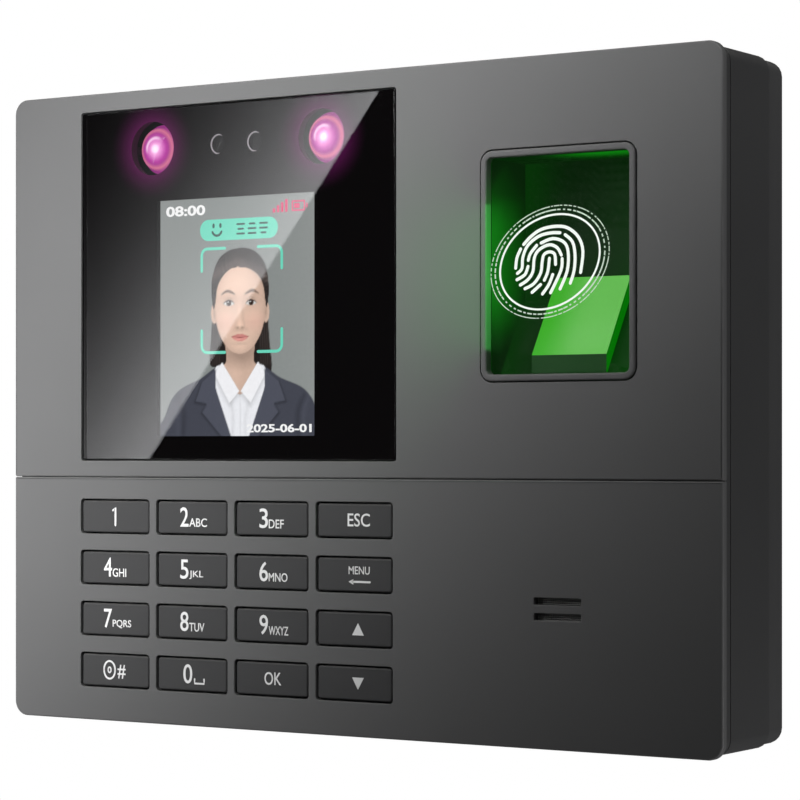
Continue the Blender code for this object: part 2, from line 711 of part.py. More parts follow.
def make_face_sensors(finishes):
    """Two infrared lamps and two cameras on their board."""
    board = rect(WINDOW_X, SENSOR_Z, FACE_BOARD_SIZE, BOARD_CORNER)
    solid = plate(board, (), FACE_BOARD_FRONT, FACE_BOARD_FRONT + BOARD_THICKNESS)
    solid.finish("face_board", finishes["circuit_board"], (WINDOW_X, FACE_BOARD_FRONT, SENSOR_Z))
    lens_top, lens_foot = DECK_FRONT + 0.3, SENSOR_BASE - 1.4
    lamp = [(SENSOR_BASE, LED_BASE_RADIUS), (lens_foot, LED_BASE_RADIUS)]
    for step in range(ARC_STEPS + 1):
        angle = math.pi / 2 * step / (ARC_STEPS + 1)
        depth = lens_foot - (lens_foot - lens_top) * math.sin(angle)
        lamp.append((depth, LED_LENS_RADIUS * math.cos(angle)))
    camera_front = DECK_FRONT
    camera = (
        (SENSOR_BASE, CAMERA_BASE_RADIUS),
        (DECK_REAR + 2 * GAP, CAMERA_BASE_RADIUS),
        (DECK_REAR + 2 * GAP, CAMERA_RADIUS),
        (camera_front, CAMERA_RADIUS),
        (camera_front, CAMERA_RADIUS - 0.6),
        (camera_front + 0.6, CAMERA_RADIUS - 1.2),
    )
    for side, word in ((-1, "left"), (1, "right")):
        x = WINDOW_X + side * LED_SPACING / 2
        solid = turned(x, SENSOR_Z, lamp)
        solid.finish(f"infrared_lamp_{word}", finishes["led_lens"], (x, SENSOR_BASE, SENSOR_Z))
        x = WINDOW_X + side * CAMERA_SPACING / 2
        solid = turned(x, SENSOR_Z, camera)
        solid.finish(f"face_camera_{word}", finishes["camera_black"], (x, SENSOR_BASE, SENSOR_Z))


def make_key(name, x, z, finish):
    """One key: a cap that stands in its hole and a flange that the deck stops."""
    hole = rect(x, z, KEY_HOLE_SIZE, KEY_HOLE_RADIUS)
    cap_shape = hole.grown(-KEY_CLEARANCE)
    flange = hole.grown(KEY_FLANGE_OVERLAP)
    front = FRONT + KEY_SINK
    solid = Solid()
    sections = (
        (cap_shape.grown(-KEY_EDGE), front),
        (cap_shape, front + KEY_EDGE),
        (cap_shape, KEY_FLANGE_FRONT),
        (flange, KEY_FLANGE_FRONT),
        (flange, KEY_REAR),
    )
    loops = [solid.loop(shape, depth) for shape, depth in sections]
    solid.wall(*loops)
    solid.cap(loops[0])
    solid.cap(loops[-1])
    return solid.finish(f"key_{name}", finish, (x, front, z))


def make_keypad(finishes):
    """Sixteen keys, the silicone mat with its domes, and the contact board."""
    mat = rect(KEYPAD_X, KEYPAD_Z, (KEYPAD_SPAN[0], KEYPAD_SPAN[1]), 1.0).grown(MAT_MARGIN)
    solid = Solid()
    front_edge, rear_edge = solid.tube(mat, MAT_FRONT, MAT_FRONT + MAT_THICKNESS)
    front_edges = [front_edge]
    for name, x, z in key_centres():
        make_key(name, x, z, finishes["key_plastic"])
        foot = solid.loop(Circle(x, z, DOME_RADIUS, SMALL_ROUND_STEPS), MAT_FRONT)
        head = solid.loop(Circle(x, z, DOME_RADIUS - 0.5, SMALL_ROUND_STEPS), DOME_FRONT)
        solid.wall(foot, head)
        solid.cap(head)
        front_edges.append(foot)
    solid.cap(*front_edges)
    solid.cap(rear_edge)
    origin = (KEYPAD_X, MAT_FRONT, KEYPAD_Z)
    solid.finish("keypad_mat", finishes["silicone"], origin)
    solid = plate(rect(KEYPAD_X, KEYPAD_Z, KEY_BOARD_SIZE, BOARD_CORNER), (), KEY_BOARD_FRONT, KEY_BOARD_REAR)
    solid.finish("keypad_board", finishes["circuit_board"], origin)


def slope_height(depth, below):
    """Height of the plane that lies the given distance under the platen."""
    return PLATEN_Z + (depth - PLATEN_Y) * PLATEN_SLOPE - below / math.cos(PLATEN_TILT)


def slope_depth(height, below):
    """Depth at which the plane under the platen reaches a height."""
    return PLATEN_Y + (height - PLATEN_Z + below / math.cos(PLATEN_TILT)) / PLATEN_SLOPE


def make_finger_well(finish):
    """Open-fronted well with a sloping floor, and a light window in that floor."""
    opening = well_rect()
    solid = Solid("X")
    rings = {}
    for skin, grow, below in (("inner", 0.0, 0.0), ("outer", WELL_WALL, WELL_WALL)):
        floor = PRISM_THICKNESS + GAP + below
        bottom, top, back = opening.bottom - grow, opening.top + grow, WELL_BACK + grow
        profile = Polygon((
            (DECK_FRONT, bottom),
            (slope_depth(bottom, floor), bottom),
            (back, slope_height(back, floor)),
            (back, top),
            (DECK_FRONT, top),
        ))
        ends = [solid.loop(profile, x) for x in (opening.left - grow, opening.right + grow)]
        for end in ends:
            solid.cap(end)
        for i in range(len(ends[0]) - 1):
            solid.bm.faces.new((ends[0][i], ends[0][i + 1], ends[1][i + 1], ends[1][i]))
        rings[skin] = (ends[0][0], ends[1][0], ends[1][-1], ends[0][-1])
    solid.wall(rings["inner"], rings["outer"])
    well = solid.finish("finger_well", finish)
    middle = LIGHT_WINDOW_UP_SLOPE
    light_window = rect(0.0, middle, PRISM_WINDOW)
    top, bottom = -PRISM_THICKNESS, -PRISM_THICKNESS - 2 * GAP - WELL_WALL
    tool = plate(light_window, (), bottom, top, axis="Z")
    tool = tool.finish("window_cutter", finish, (FINGER_X, PLATEN_Y, PLATEN_Z), PLATEN_TILT)
    carve(well, tool, "DIFFERENCE")
    return well


def make_finger_reader(finishes):
    """Bezel, well, prism with its sloping platen, lamp strip, camera and board."""
    outer = bezel_rect()
    inner = rect(FINGER_X, FINGER_Z, WELL_SIZE, BEZEL_RADIUS - BEZEL_RING)
    solid = plate(outer, (inner,), FRONT - BEZEL_PROUD, PANEL_REAR, chamfer=0.35)
    solid.finish("finger_bezel", finishes["bezel_plastic"], (FINGER_X, FRONT, FINGER_Z))
    make_finger_well(finishes["well_plastic"])
    foot, end = WELL_BOTTOM + GAP, PLATEN_Y + PLATEN_RUN
    profile = Polygon((
        (PLATEN_Y, PLATEN_Z),
        (PLATEN_Y, foot),
        (slope_depth(foot, PRISM_THICKNESS), foot),
        (end, slope_height(end, PRISM_THICKNESS)),
        (end, PLATEN_Z + PLATEN_RISE),
    ))
    left, right = FINGER_X - PLATEN_WIDTH / 2, FINGER_X + PLATEN_WIDTH / 2
    solid = plate(profile, (), left, right, axis="X")
    solid.finish("finger_prism", finishes["prism_glass"], (FINGER_X, PLATEN_Y, PLATEN_Z))
    strip = rect(0.0, LAMP_STRIP_UP_SLOPE, LAMP_STRIP_SIZE)
    strip_top = -PRISM_THICKNESS - GAP - WELL_WALL - GAP
    solid = plate(strip, (), strip_top - LAMP_STRIP_THICKNESS, strip_top, axis="Z")
    place = (FINGER_X, PLATEN_Y, PLATEN_Z)
    solid.finish("finger_lamp_strip", finishes["circuit_board"], place, PLATEN_TILT)
    board_z = WELL_BOTTOM + FINGER_BOARD_ABOVE_WELL
    board = rect(FINGER_X, board_z, FINGER_BOARD_SIZE, BOARD_CORNER)
    solid = plate(board, (), FINGER_BOARD_FRONT, FINGER_BOARD_FRONT + BOARD_THICKNESS)
    solid.finish("finger_board", finishes["circuit_board"], (FINGER_X, FINGER_BOARD_FRONT, board_z))
    lens_z = WELL_BOTTOM + FINGER_CAMERA_ABOVE_WELL
    foot = FINGER_BOARD_FRONT - GAP
    under_strip = LAMP_STRIP_THICKNESS + GAP - strip_top
    strip_depth = slope_depth(lens_z + FINGER_CAMERA_RADIUS, under_strip)
    tip = max(foot - FINGER_CAMERA_LENGTH, strip_depth)
    rim_height, rim_width = FINGER_CAMERA_RIM
    profile = (
        (foot, FINGER_CAMERA_RADIUS + rim_width),
        (foot - rim_height, FINGER_CAMERA_RADIUS + rim_width),
        (foot - rim_height, FINGER_CAMERA_RADIUS),
        (tip, FINGER_CAMERA_RADIUS),
        (tip, FINGER_CAMERA_RADIUS - 1.0),
        (tip + 0.6, FINGER_CAMERA_RADIUS - 1.4),
    )
    solid = turned(FINGER_X, lens_z, profile, steps=SMALL_ROUND_STEPS)
    solid.finish("finger_camera", finishes["camera_black"], (FINGER_X, foot, lens_z))


def make_speaker(finish):
    """Loudspeaker behind the sound slots."""
    front = DECK_REAR + GAP
    profile = (
        (front, SPEAKER_RADIUS),
        (front + SPEAKER_FLANGE, SPEAKER_RADIUS),
        (front + SPEAKER_FLANGE + 0.8, SPEAKER_MAGNET_RADIUS),
        (front + SPEAKER_DEPTH, SPEAKER_MAGNET_RADIUS),
    )
    solid = turned(FINGER_X, SPEAKER_Z, profile)
    solid.finish("speaker", finish, (FINGER_X, front, SPEAKER_Z))


def board_outline():
    """Main board: a tall plate with a leg along the bottom that carries the sockets."""
    bottom = -BOARD_TOP
    leg_right, leg_top = BOARD_RIGHT + BOARD_LEG_WIDTH, bottom + BOARD_LEG_HEIGHT
    return Polygon((
        (BOARD_LEFT, bottom),
        (leg_right, bottom),
        (leg_right, leg_top),
        (BOARD_RIGHT, leg_top),
        (BOARD_RIGHT, BOARD_TOP),
        (BOARD_LEFT, BOARD_TOP),
    ))


def make_boards(finishes):
    """Main board with its shield, clock cell and backup battery."""
    solid = plate(board_outline(), (), BOARD_FRONT, BOARD_REAR)
    solid.finish("main_board", finishes["circuit_board"], (BOARD_LEFT, BOARD_FRONT, 0.0))
    on_board = BOARD_REAR + GAP
    shield_x = (BOARD_LEFT + BOARD_RIGHT) / 2
    shield = rect(shield_x, 0.0, SHIELD_SIZE, 1.0)
    solid = plate(shield, (), on_board, on_board + SHIELD_HEIGHT)
    solid.finish("shield_can", finishes["plated_steel"], (shield_x, on_board, 0.0))
    cell_x, cell_z = BOARD_LEFT + 16.0, -BOARD_TOP + 18.0
    profile = (
        (on_board, CELL_RADIUS - 1.0),
        (on_board + 0.4, CELL_RADIUS),
        (on_board + CELL_HEIGHT - 0.3, CELL_RADIUS),
        (on_board + CELL_HEIGHT, CELL_RADIUS - 0.4),
    )
    solid = turned(cell_x, cell_z, profile)
    solid.finish("clock_cell", finishes["plated_steel"], (cell_x, on_board, cell_z))
    pouch = rect(BATTERY_X, BATTERY_Z, BATTERY_SIZE, 2.0)
    solid = plate(pouch, (), BATTERY_FRONT, BATTERY_FRONT + BATTERY_THICKNESS, chamfer=0.8)
    solid.finish("backup_battery", finishes["cell_wrap"], (BATTERY_X, BATTERY_FRONT, BATTERY_Z))


def make_ribbon(name, x, z, start, drop, finish):
    """Flat cable that steps from a rear face back to the main board."""
    near, far = start + GAP, BOARD_FRONT - GAP - RIBBON_THICKNESS
    thick = RIBBON_THICKNESS
    head, foot = z + RIBBON_TAIL[0], z - drop - RIBBON_TAIL[1]
    profile = Polygon((
        (near, head),
        (near, z),
        (far, z - drop),
        (far, foot),
        (far + thick, foot),
        (far + thick, z - drop + thick / 2),
        (near + thick, z + thick / 2),
        (near + thick, head),
    ))
    half = RIBBON_WIDTH / 2
    solid = plate(profile, (), x - half, x + half, axis="X")
    solid.finish(name, finish, (x, near, z))


def usb_outlines():
    """Outlines of the USB socket, seen along Z."""
    x, y = WIDTH / 2 - USB_FROM_RIGHT, BOARD_FRONT - GAP - USB_BODY[1] / 2
    return {
        "centre": (x, y),
        "body": rect(x, y, USB_BODY[:2], 0.5),
        "mouth": rect(x, y, USB_MOUTH),
        "tongue": rect(x, y + USB_MOUTH[1] / 4, USB_TONGUE),
        "wall_hole": rect(x, y, USB_MOUTH, 0.3).grown(GAP),
    }


def dc_outlines():
    """Outlines of the power socket, seen along Z."""
    x, y = WIDTH / 2 - DC_FROM_RIGHT, BOARD_FRONT - GAP - DC_BODY[1] / 2
    return {
        "centre": (x, y),
        "body": rect(x, y, DC_BODY[:2], 0.5),
        "mouth": Circle(x, y, DC_BORE_RADIUS),
        "tongue": Circle(x, y, DC_PIN_RADIUS, SMALL_ROUND_STEPS),
        "wall_hole": Circle(x, y, DC_BORE_RADIUS + GAP),
    }


def make_socket(name, outlines, length, finish):
    """Socket body with a blind mouth that holds a tongue or a pin."""
    solid = Solid("Z")
    face, top = solid.tube(outlines["body"], SOCKET_TOP, SOCKET_TOP + length)
    mouth, floor = solid.tube(outlines["mouth"], SOCKET_TOP, SOCKET_TOP + SOCKET_CAVITY_DEPTH)
    root, tip = solid.tube(
        outlines["tongue"], SOCKET_TOP + SOCKET_CAVITY_DEPTH, SOCKET_TOP + SOCKET_TIP_DEPTH
    )
    solid.cap(face, mouth)
    solid.cap(floor, root)
    solid.cap(tip)
    solid.cap(top)
    x, y = outlines["centre"]
    solid.finish(name, finish, (x, y, SOCKET_TOP))


def main():
    """Builds the terminal."""
    for obj in list(bpy.data.objects):
        bpy.data.objects.remove(obj)
    finishes = make_materials()
    make_wall_bracket(finishes["zinc_steel"])
    make_front_panels(finishes["panel_plastic"])
    make_main_housing(finishes["housing_plastic"])
    make_rear_cover(finishes["housing_plastic"])
    make_rear_screws(finishes["plated_steel"])
    make_display(finishes)
    make_face_sensors(finishes)
    make_keypad(finishes)
    make_finger_reader(finishes)
    make_speaker(finishes["black_plastic"])
    make_boards(finishes)
    make_ribbon("display_ribbon", LCD_X, LCD_Z - 22.0, BACKLIGHT_REAR, 6.0, finishes["flex_cable"])
    make_ribbon("keypad_ribbon", KEYPAD_X, KEYPAD_Z, KEY_BOARD_REAR, 4.0, finishes["flex_cable"])
    make_socket("usb_port", usb_outlines(), USB_BODY[2], finishes["plated_steel"])
    make_socket("power_socket", dc_outlines(), DC_BODY[2], finishes["black_plastic"])


main()
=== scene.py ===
"""Looks of a wall terminal with a face camera, keys and a finger reader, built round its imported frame."""

import json  # noqa: E402
import logging  # noqa: E402
import math  # noqa: E402
from dataclasses import dataclass  # noqa: E402
from enum import Enum  # noqa: E402
from typing import Any, Callable, Iterable, Sequence  # noqa: E402

import bmesh  # noqa: E402
import bpy  # noqa: E402
import numpy as np  # noqa: E402
from mathutils import Matrix, Vector  # noqa: E402

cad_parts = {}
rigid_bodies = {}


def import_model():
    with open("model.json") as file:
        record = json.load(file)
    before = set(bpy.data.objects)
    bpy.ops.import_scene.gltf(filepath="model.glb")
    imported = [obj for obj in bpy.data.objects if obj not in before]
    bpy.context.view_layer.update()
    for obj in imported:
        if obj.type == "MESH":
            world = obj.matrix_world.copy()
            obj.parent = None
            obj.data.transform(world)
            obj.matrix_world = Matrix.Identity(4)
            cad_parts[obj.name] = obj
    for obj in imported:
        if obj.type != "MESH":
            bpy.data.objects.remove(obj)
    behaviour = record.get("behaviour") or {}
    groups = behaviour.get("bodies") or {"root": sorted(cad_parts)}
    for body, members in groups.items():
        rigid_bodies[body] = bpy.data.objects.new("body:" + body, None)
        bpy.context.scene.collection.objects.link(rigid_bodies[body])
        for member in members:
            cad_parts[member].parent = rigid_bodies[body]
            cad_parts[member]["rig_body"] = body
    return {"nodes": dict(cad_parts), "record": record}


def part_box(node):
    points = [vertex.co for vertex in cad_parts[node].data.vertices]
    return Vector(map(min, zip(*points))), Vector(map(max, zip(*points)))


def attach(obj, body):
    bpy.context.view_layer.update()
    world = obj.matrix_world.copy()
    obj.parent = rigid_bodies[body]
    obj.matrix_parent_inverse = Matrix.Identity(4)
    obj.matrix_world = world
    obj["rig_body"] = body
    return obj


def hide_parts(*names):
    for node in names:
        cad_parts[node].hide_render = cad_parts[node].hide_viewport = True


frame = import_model()
LOG = logging.getLogger("terminal")
MM = 0.001
TERMINAL = "terminal"

Point = tuple[float, float]
Point3 = tuple[float, float, float]
Colour = tuple[float, float, float]


# ---------------------------------------------------------------- outlines and shells


@dataclass(frozen=True)
class Span:
    """The room a CAD node takes, in mm."""

    low: Vector
    high: Vector

    @classmethod
    def of(cls, node: str) -> "Span":
        """Reads a node's box from the frame.

        Args:
            node: name of the CAD node.

        Returns:
            Its lowest and highest corner.
        """
        low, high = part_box(node)
        return cls(low / MM, high / MM)

    @property
    def middle(self) -> Vector:
        """Centre of the box."""
        return (self.low + self.high) / 2

    @property
    def size(self) -> Vector:
        """Lengths of the box along the three axes."""
        return self.high - self.low


@dataclass(frozen=True)
class Outline:
    """A closed anticlockwise line in a flat plane, in mm."""

    points: tuple[Point, ...]

    @classmethod
    def rounded(
        cls, centre: Point, size: Point, radius: float | Sequence[float], steps: int = 6
    ) -> "Outline":
        """Rectangle with rounded corners.

        Args:
            centre: middle of the rectangle.
            size: width and height.
            radius: one radius, or four that start at the upper right and go anticlockwise.
            steps: pieces in each corner's arc.

        Returns:
            The outline.
        """
        radii = [radius] * 4 if isinstance(radius, (int, float)) else list(radius)
        points = []
        for corner, (right, up) in enumerate(((1, 1), (-1, 1), (-1, -1), (1, -1))):
            turn = radii[corner]
            u = centre[0] + right * (size[0] / 2 - turn)
            v = centre[1] + up * (size[1] / 2 - turn)
            for step in range(steps + 1 if turn > 0 else 1):
                angle = math.radians(90 * corner + 90 * step / steps)
                points.append((u + turn * math.cos(angle), v + turn * math.sin(angle)))
        return cls(tuple(points))

    @classmethod
    def circle(cls, centre: Point, radius: float, steps: int = 48) -> "Outline":
        """Circle about a centre, as a polygon of that many steps."""
        angles = [math.tau * step / steps for step in range(steps)]
        return cls(
            tuple((centre[0] + radius * math.cos(a), centre[1] + radius * math.sin(a)) for a in angles)
        )

    @classmethod
    def stroke(cls, path: Sequence[Point], width: float, steps: int = 5) -> "Outline":
        """Ribbon of one width along a path, with round ends.

        Args:
            path: points that the middle of the ribbon follows.
            width: width of the ribbon.
            steps: pieces in each round end.

        Returns:
            The outline of the ribbon.
        """
        line = [Vector(point) for point in path]
        half = width / 2
        sides: list[tuple[Vector, Vector]] = []
        for i, point in enumerate(line):
            before, after = line[max(i - 1, 0)], line[min(i + 1, len(line) - 1)]
            along = (after - before).normalized()
            sides.append((point, Vector((along.y, -along.x))))
        right = [point + side * half for point, side in sides]
        left = [point - side * half for point, side in reversed(sides)]
        points = right + _round_end(line[-1], right[-1], half, steps)
        points += left + _round_end(line[0], left[-1], half, steps)
        return cls(tuple((point.x, point.y) for point in points))

    def grown(self, amount: float) -> "Outline":
        """The same line moved outwards by an amount, or inwards where it is negative."""
        made = []
        count = len(self.points)
        for i, point in enumerate(self.points):
            before, after = Vector(self.points[i - 1]), Vector(self.points[(i + 1) % count])
            here = Vector(point)
            first, second = (here - before).normalized(), (after - here).normalized()
            one, two = Vector((first.y, -first.x)), Vector((second.y, -second.x))
            outward = (one + two) / max(1.0 + one.dot(two), 0.3)
            made.append(tuple(here + outward * amount))
        return Outline(tuple(made))

    def moved(self, right: float, up: float, scale: float = 1.0) -> "Outline":
        """The outline scaled about zero and then moved."""
        return Outline(tuple((right + u * scale, up + v * scale) for u, v in self.points))


def _round_end(centre: Vector, start: Vector, radius: float, steps: int) -> list[Vector]:
    """Points of the half circle that starts after one point and turns anticlockwise."""
    first = math.atan2(start.y - centre.y, start.x - centre.x)
    angles = [first + math.pi * step / steps for step in range(1, steps)]
    return [centre + Vector((math.cos(a), math.sin(a))) * radius for a in angles]


class Shell:
    """Flat loops, joined by walls and caps, that become closed pieces."""

    def __init__(self) -> None:
        """Starts an empty shell."""
        self.bm = bmesh.new()
        self.wear = self.bm.verts.layers.float.new("wear")

    def loop(self, outline: Outline, depth: float, wear: float = 0.0) -> list[bmesh.types.BMVert]:
        """Draws one outline at a depth.

        Args:
            outline: the line to draw.
            depth: its place along the shell's axis, in mm.
            wear: how much hands rub it, from 0 to 1.

        Returns:
            The loop's vertices in order.
        """
        verts = [self.bm.verts.new((u, depth, v)) for u, v in outline.points]
        for vert in verts:
            vert[self.wear] = wear
        for first, second in zip(verts, verts[1:] + verts[:1]):
            self.bm.edges.new((first, second))
        return verts

    def wall(self, *loops: list[bmesh.types.BMVert]) -> None:
        """Joins each loop to the next, which has as many points."""
        for near, far in zip(loops, loops[1:]):
            for i in range(len(near)):
                j = (i + 1) % len(near)
                self.bm.faces.new((near[i], near[j], far[j], far[i]))

    def cap(self, *loops: list[bmesh.types.BMVert]) -> None:
        """Fills the flat area that one outer loop and any holes leave."""
        edges = []
        for loop in loops:
            edges += [self.bm.edges.get(pair) for pair in zip(loop, loop[1:] + loop[:1])]
        bmesh.ops.triangle_fill(self.bm, edges=edges, use_beauty=True)

    def plate(
        self,
        outer: Outline,
        front: float,
        rear: float,
        holes: Iterable[Outline] = (),
        roll: float = 0.0,
        hole_roll: float = 0.0,
        steps: int = 4,
    ) -> "Shell":
        """Adds a flat plate whose front edges are rolled over.

        Args:
            outer: outline of the plate.
            front: depth of its front face.
            rear: depth of its rear face.
            holes: outlines of its holes.
            roll: radius of the outer front edge.
            hole_roll: radius of the holes' front edges.
            steps: pieces in each rolled edge.

        Returns:
            The shell itself.
        """
        fronts, rears = [], []
        for number, outline in enumerate((outer, *holes)):
            inward, radius = (-1, roll) if number == 0 else (1, hole_roll)
            loops = []
            if radius > 0:
                for step in range(steps + 1):
                    angle = math.pi / 2 * step / steps
                    edge = outline.grown(inward * radius * (1 - math.sin(angle)))
                    worn = math.sin(2 * angle)
                    loops.append(self.loop(edge, front + radius * (1 - math.cos(angle)), worn))
            else:
                loops.append(self.loop(outline, front))
            loops.append(self.loop(outline, rear))
            self.wall(*loops)
            fronts.append(loops[0])
            rears.append(loops[-1])
        self.cap(*fronts)
        self.cap(*rears)
        return self

    def turned(self, centre: Point, profile: Sequence[Point], steps: int = 48) -> "Shell":
        """Adds a turned body.

        Args:
            centre: where its axis crosses the flat plane.
            profile: (depth, radius) pairs from one end to the other.
            steps: pieces in each circle.

        Returns:
            The shell itself.
        """
        loops = [self.loop(Outline.circle(centre, radius, steps), depth) for depth, radius in profile]
        self.wall(*loops)
        self.cap(loops[0])
        self.cap(loops[-1])
        return self

    def piece(self, name: str, *finishes: bpy.types.Material, angle: float = 34.0) -> bpy.types.Object:
        """Makes the object.

        Args:
            name: name of the piece.
            finishes: its materials.
            angle: edges sharper than this, in degrees, stay crisp.

        Returns:
            The new object, with its place in its mesh.
        """
        bmesh.ops.recalc_face_normals(self.bm, faces=self.bm.faces)
        mesh = bpy.data.meshes.new(name)
        self.bm.to_mesh(mesh)
        self.bm.free()
        mesh.transform(Matrix.Scale(MM, 4))
        return dressed(name, mesh, *finishes, angle=angle)


def dressed(
    name: str, mesh: bpy.types.Mesh, *finishes: bpy.types.Material, angle: float = 34.0
) -> bpy.types.Object:
    """Puts a mesh in the scene with its finishes and evenly shaded faces.

    Args:
        name: name of the piece.
        mesh: the mesh, already in place.
        finishes: its materials.
        angle: edges sharper than this, in degrees, stay crisp.

    Returns:
        The new object.
    """
    mesh.shade_smooth()
    mesh.set_sharp_from_angle(angle=math.radians(angle))
    mesh.materials.clear()
    for finish in finishes:
        mesh.materials.append(finish)
    obj = bpy.data.objects.new(name, mesh)
    bpy.context.scene.collection.objects.link(obj)
    even = obj.modifiers.new("even", "WEIGHTED_NORMAL")
    even.keep_sharp = True
    obj.data = settled(obj)
    obj.modifiers.clear()
    obj.data.name = name
    return obj


def settled(obj: bpy.types.Object) -> bpy.types.Mesh:
    """Plain mesh of an object with its modifiers applied."""
    bpy.context.view_layer.update()
    graph = bpy.context.evaluated_depsgraph_get()
    return bpy.data.meshes.new_from_object(obj.evaluated_get(graph))


def traced(node: str, name: str, *finishes: bpy.types.Material) -> bpy.types.Object:
    """Copies a CAD node as a merged, evenly shaded piece and lets it stand for the node.

    Args:
        node: name of the CAD node.
        name: name of the piece.
        finishes: its materials.

    Returns:
        The new piece, which rides on the terminal or on the wall bracket's body.
    """
    bm = bmesh.new()
    bm.from_mesh(frame["nodes"][node].data)
    bmesh.ops.remove_doubles(bm, verts=bm.verts, dist=1e-6)
    bmesh.ops.dissolve_limit(bm, angle_limit=math.radians(0.5), verts=bm.verts, edges=bm.edges)
    mesh = bpy.data.meshes.new(name)
    bm.to_mesh(mesh)
    bm.free()
    obj = dressed(name, mesh, *finishes)
    return mounted(obj, frame["nodes"][node]["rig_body"], node)


def mounted(
    obj: bpy.types.Object, body: str, *nodes: str, slot: str = ""
) -> bpy.types.Object:
    """Rides a piece on its body and hides the CAD nodes that it stands for.

    Args:
        obj: the piece.
        body: the CAD body that carries it.
        nodes: CAD nodes that it stands for.
        slot: a material slot's name, or the first node's where empty; it is worked out but not used.

    Returns:
        The piece.
    """
    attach(obj, body)
    if nodes:
        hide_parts(*nodes)
    kept = slot or (SLOT_OF_NODE.get(nodes[0], "") if nodes else "")
    LOG.info("%s rides on %s, %d faces", obj.name, body, len(obj.data.polygons))
    return obj


def _slots() -> dict[str, str]:
    """Material slot of each CAD node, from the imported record."""
    found = {}
    for node, obj in frame["nodes"].items():
        name = obj.data.materials[0].name.split(".")[0] if obj.data.materials else ""
        found[node] = name
    return found


SLOT_OF_NODE = _slots()
KNOWN_SLOTS = {entry.get("slot") for entry in frame["record"].get("materials", [])}
SLOT_OF_NODE = {node: slot for node, slot in SLOT_OF_NODE.items() if slot in KNOWN_SLOTS}


# ---------------------------------------------------------------- node trees


class Wiring:
    """Adds nodes to one tree, with their settings and inputs in one call."""

    def __init__(self, tree: bpy.types.NodeTree) -> None:
        """Works on a tree.

        Args:
            tree: a material's, group's or modifier's tree.
        """
        self.tree = tree

    def add(self, kind: str, *values: Any, settings: dict[str, Any] | None = None, **named: Any) -> Any:
        """Adds one node.

        Args:
            kind: Blender's name for the node.
            values: inputs in order; None leaves one as it is.
            settings: properties of the node itself.
            named: inputs by name, with an underscore for each space.

        Returns:
            The node.
        """
        node = self.tree.nodes.new(kind)
        for key, value in (settings or {}).items():
            setattr(node, key, value)
        for key, value in [*enumerate(values), *((k.replace("_", " "), v) for k, v in named.items())]:
            if isinstance(value, bpy.types.NodeSocket):
                self.tree.links.new(value, node.inputs[key])
            elif value is not None:
                node.inputs[key].default_value = value
        return node

    def maths(self, operation: str, *values: Any) -> bpy.types.NodeSocket:
        """Result of one Math node."""
        kind = "ShaderNodeMath"
        return self.add(kind, *values, settings={"operation": operation}).outputs[0]

    def place(self) -> bpy.types.NodeSocket:
        """Place on the piece, in Object coordinates."""
        return self.add("ShaderNodeTexCoord").outputs["Object"]

    def noise(self, place: Any, scale: Any, detail: float) -> bpy.types.NodeSocket:
        """Soft noise over a place."""
        return self.add("ShaderNodeTexNoise", Vector=place, Scale=scale, Detail=detail).outputs[0]

    def feed(self, node: Any, name: str, value: bpy.types.NodeSocket) -> None:
        """Links a value to a node's named input."""
        self.tree.links.new(value, node.inputs[name])

    def between(self, value: Any, low: float, high: float, out_low: float, out_high: float) -> Any:
        """A value moved from one range to another, and kept inside it."""
        return self.add("ShaderNodeMapRange", value, low, high, out_low, out_high).outputs[0]

    def blended(self, share: Any, one: Any, two: Any, kind: str = "MIX") -> bpy.types.NodeSocket:
        """Colour between two colours by a share."""
        settings = {"data_type": "RGBA", "blend_type": kind}
        node = self.add("ShaderNodeMix", settings=settings)
        for index, value in ((0, share), (6, one), (7, two)):
            if isinstance(value, bpy.types.NodeSocket):
                self.tree.links.new(value, node.inputs[index])
            else:
                node.inputs[index].default_value = (*value, 1.0) if index else value
        return node.outputs[2]

    def socket(self, name: str, kind: str, out: bool = False, value: Any = None) -> None:
        """Adds a named socket to a group's face."""
        side = "OUTPUT" if out else "INPUT"
        made = self.tree.interface.new_socket(name=name, in_out=side, socket_type=f"NodeSocket{kind}")
        if value is not None:
            made.default_value = value


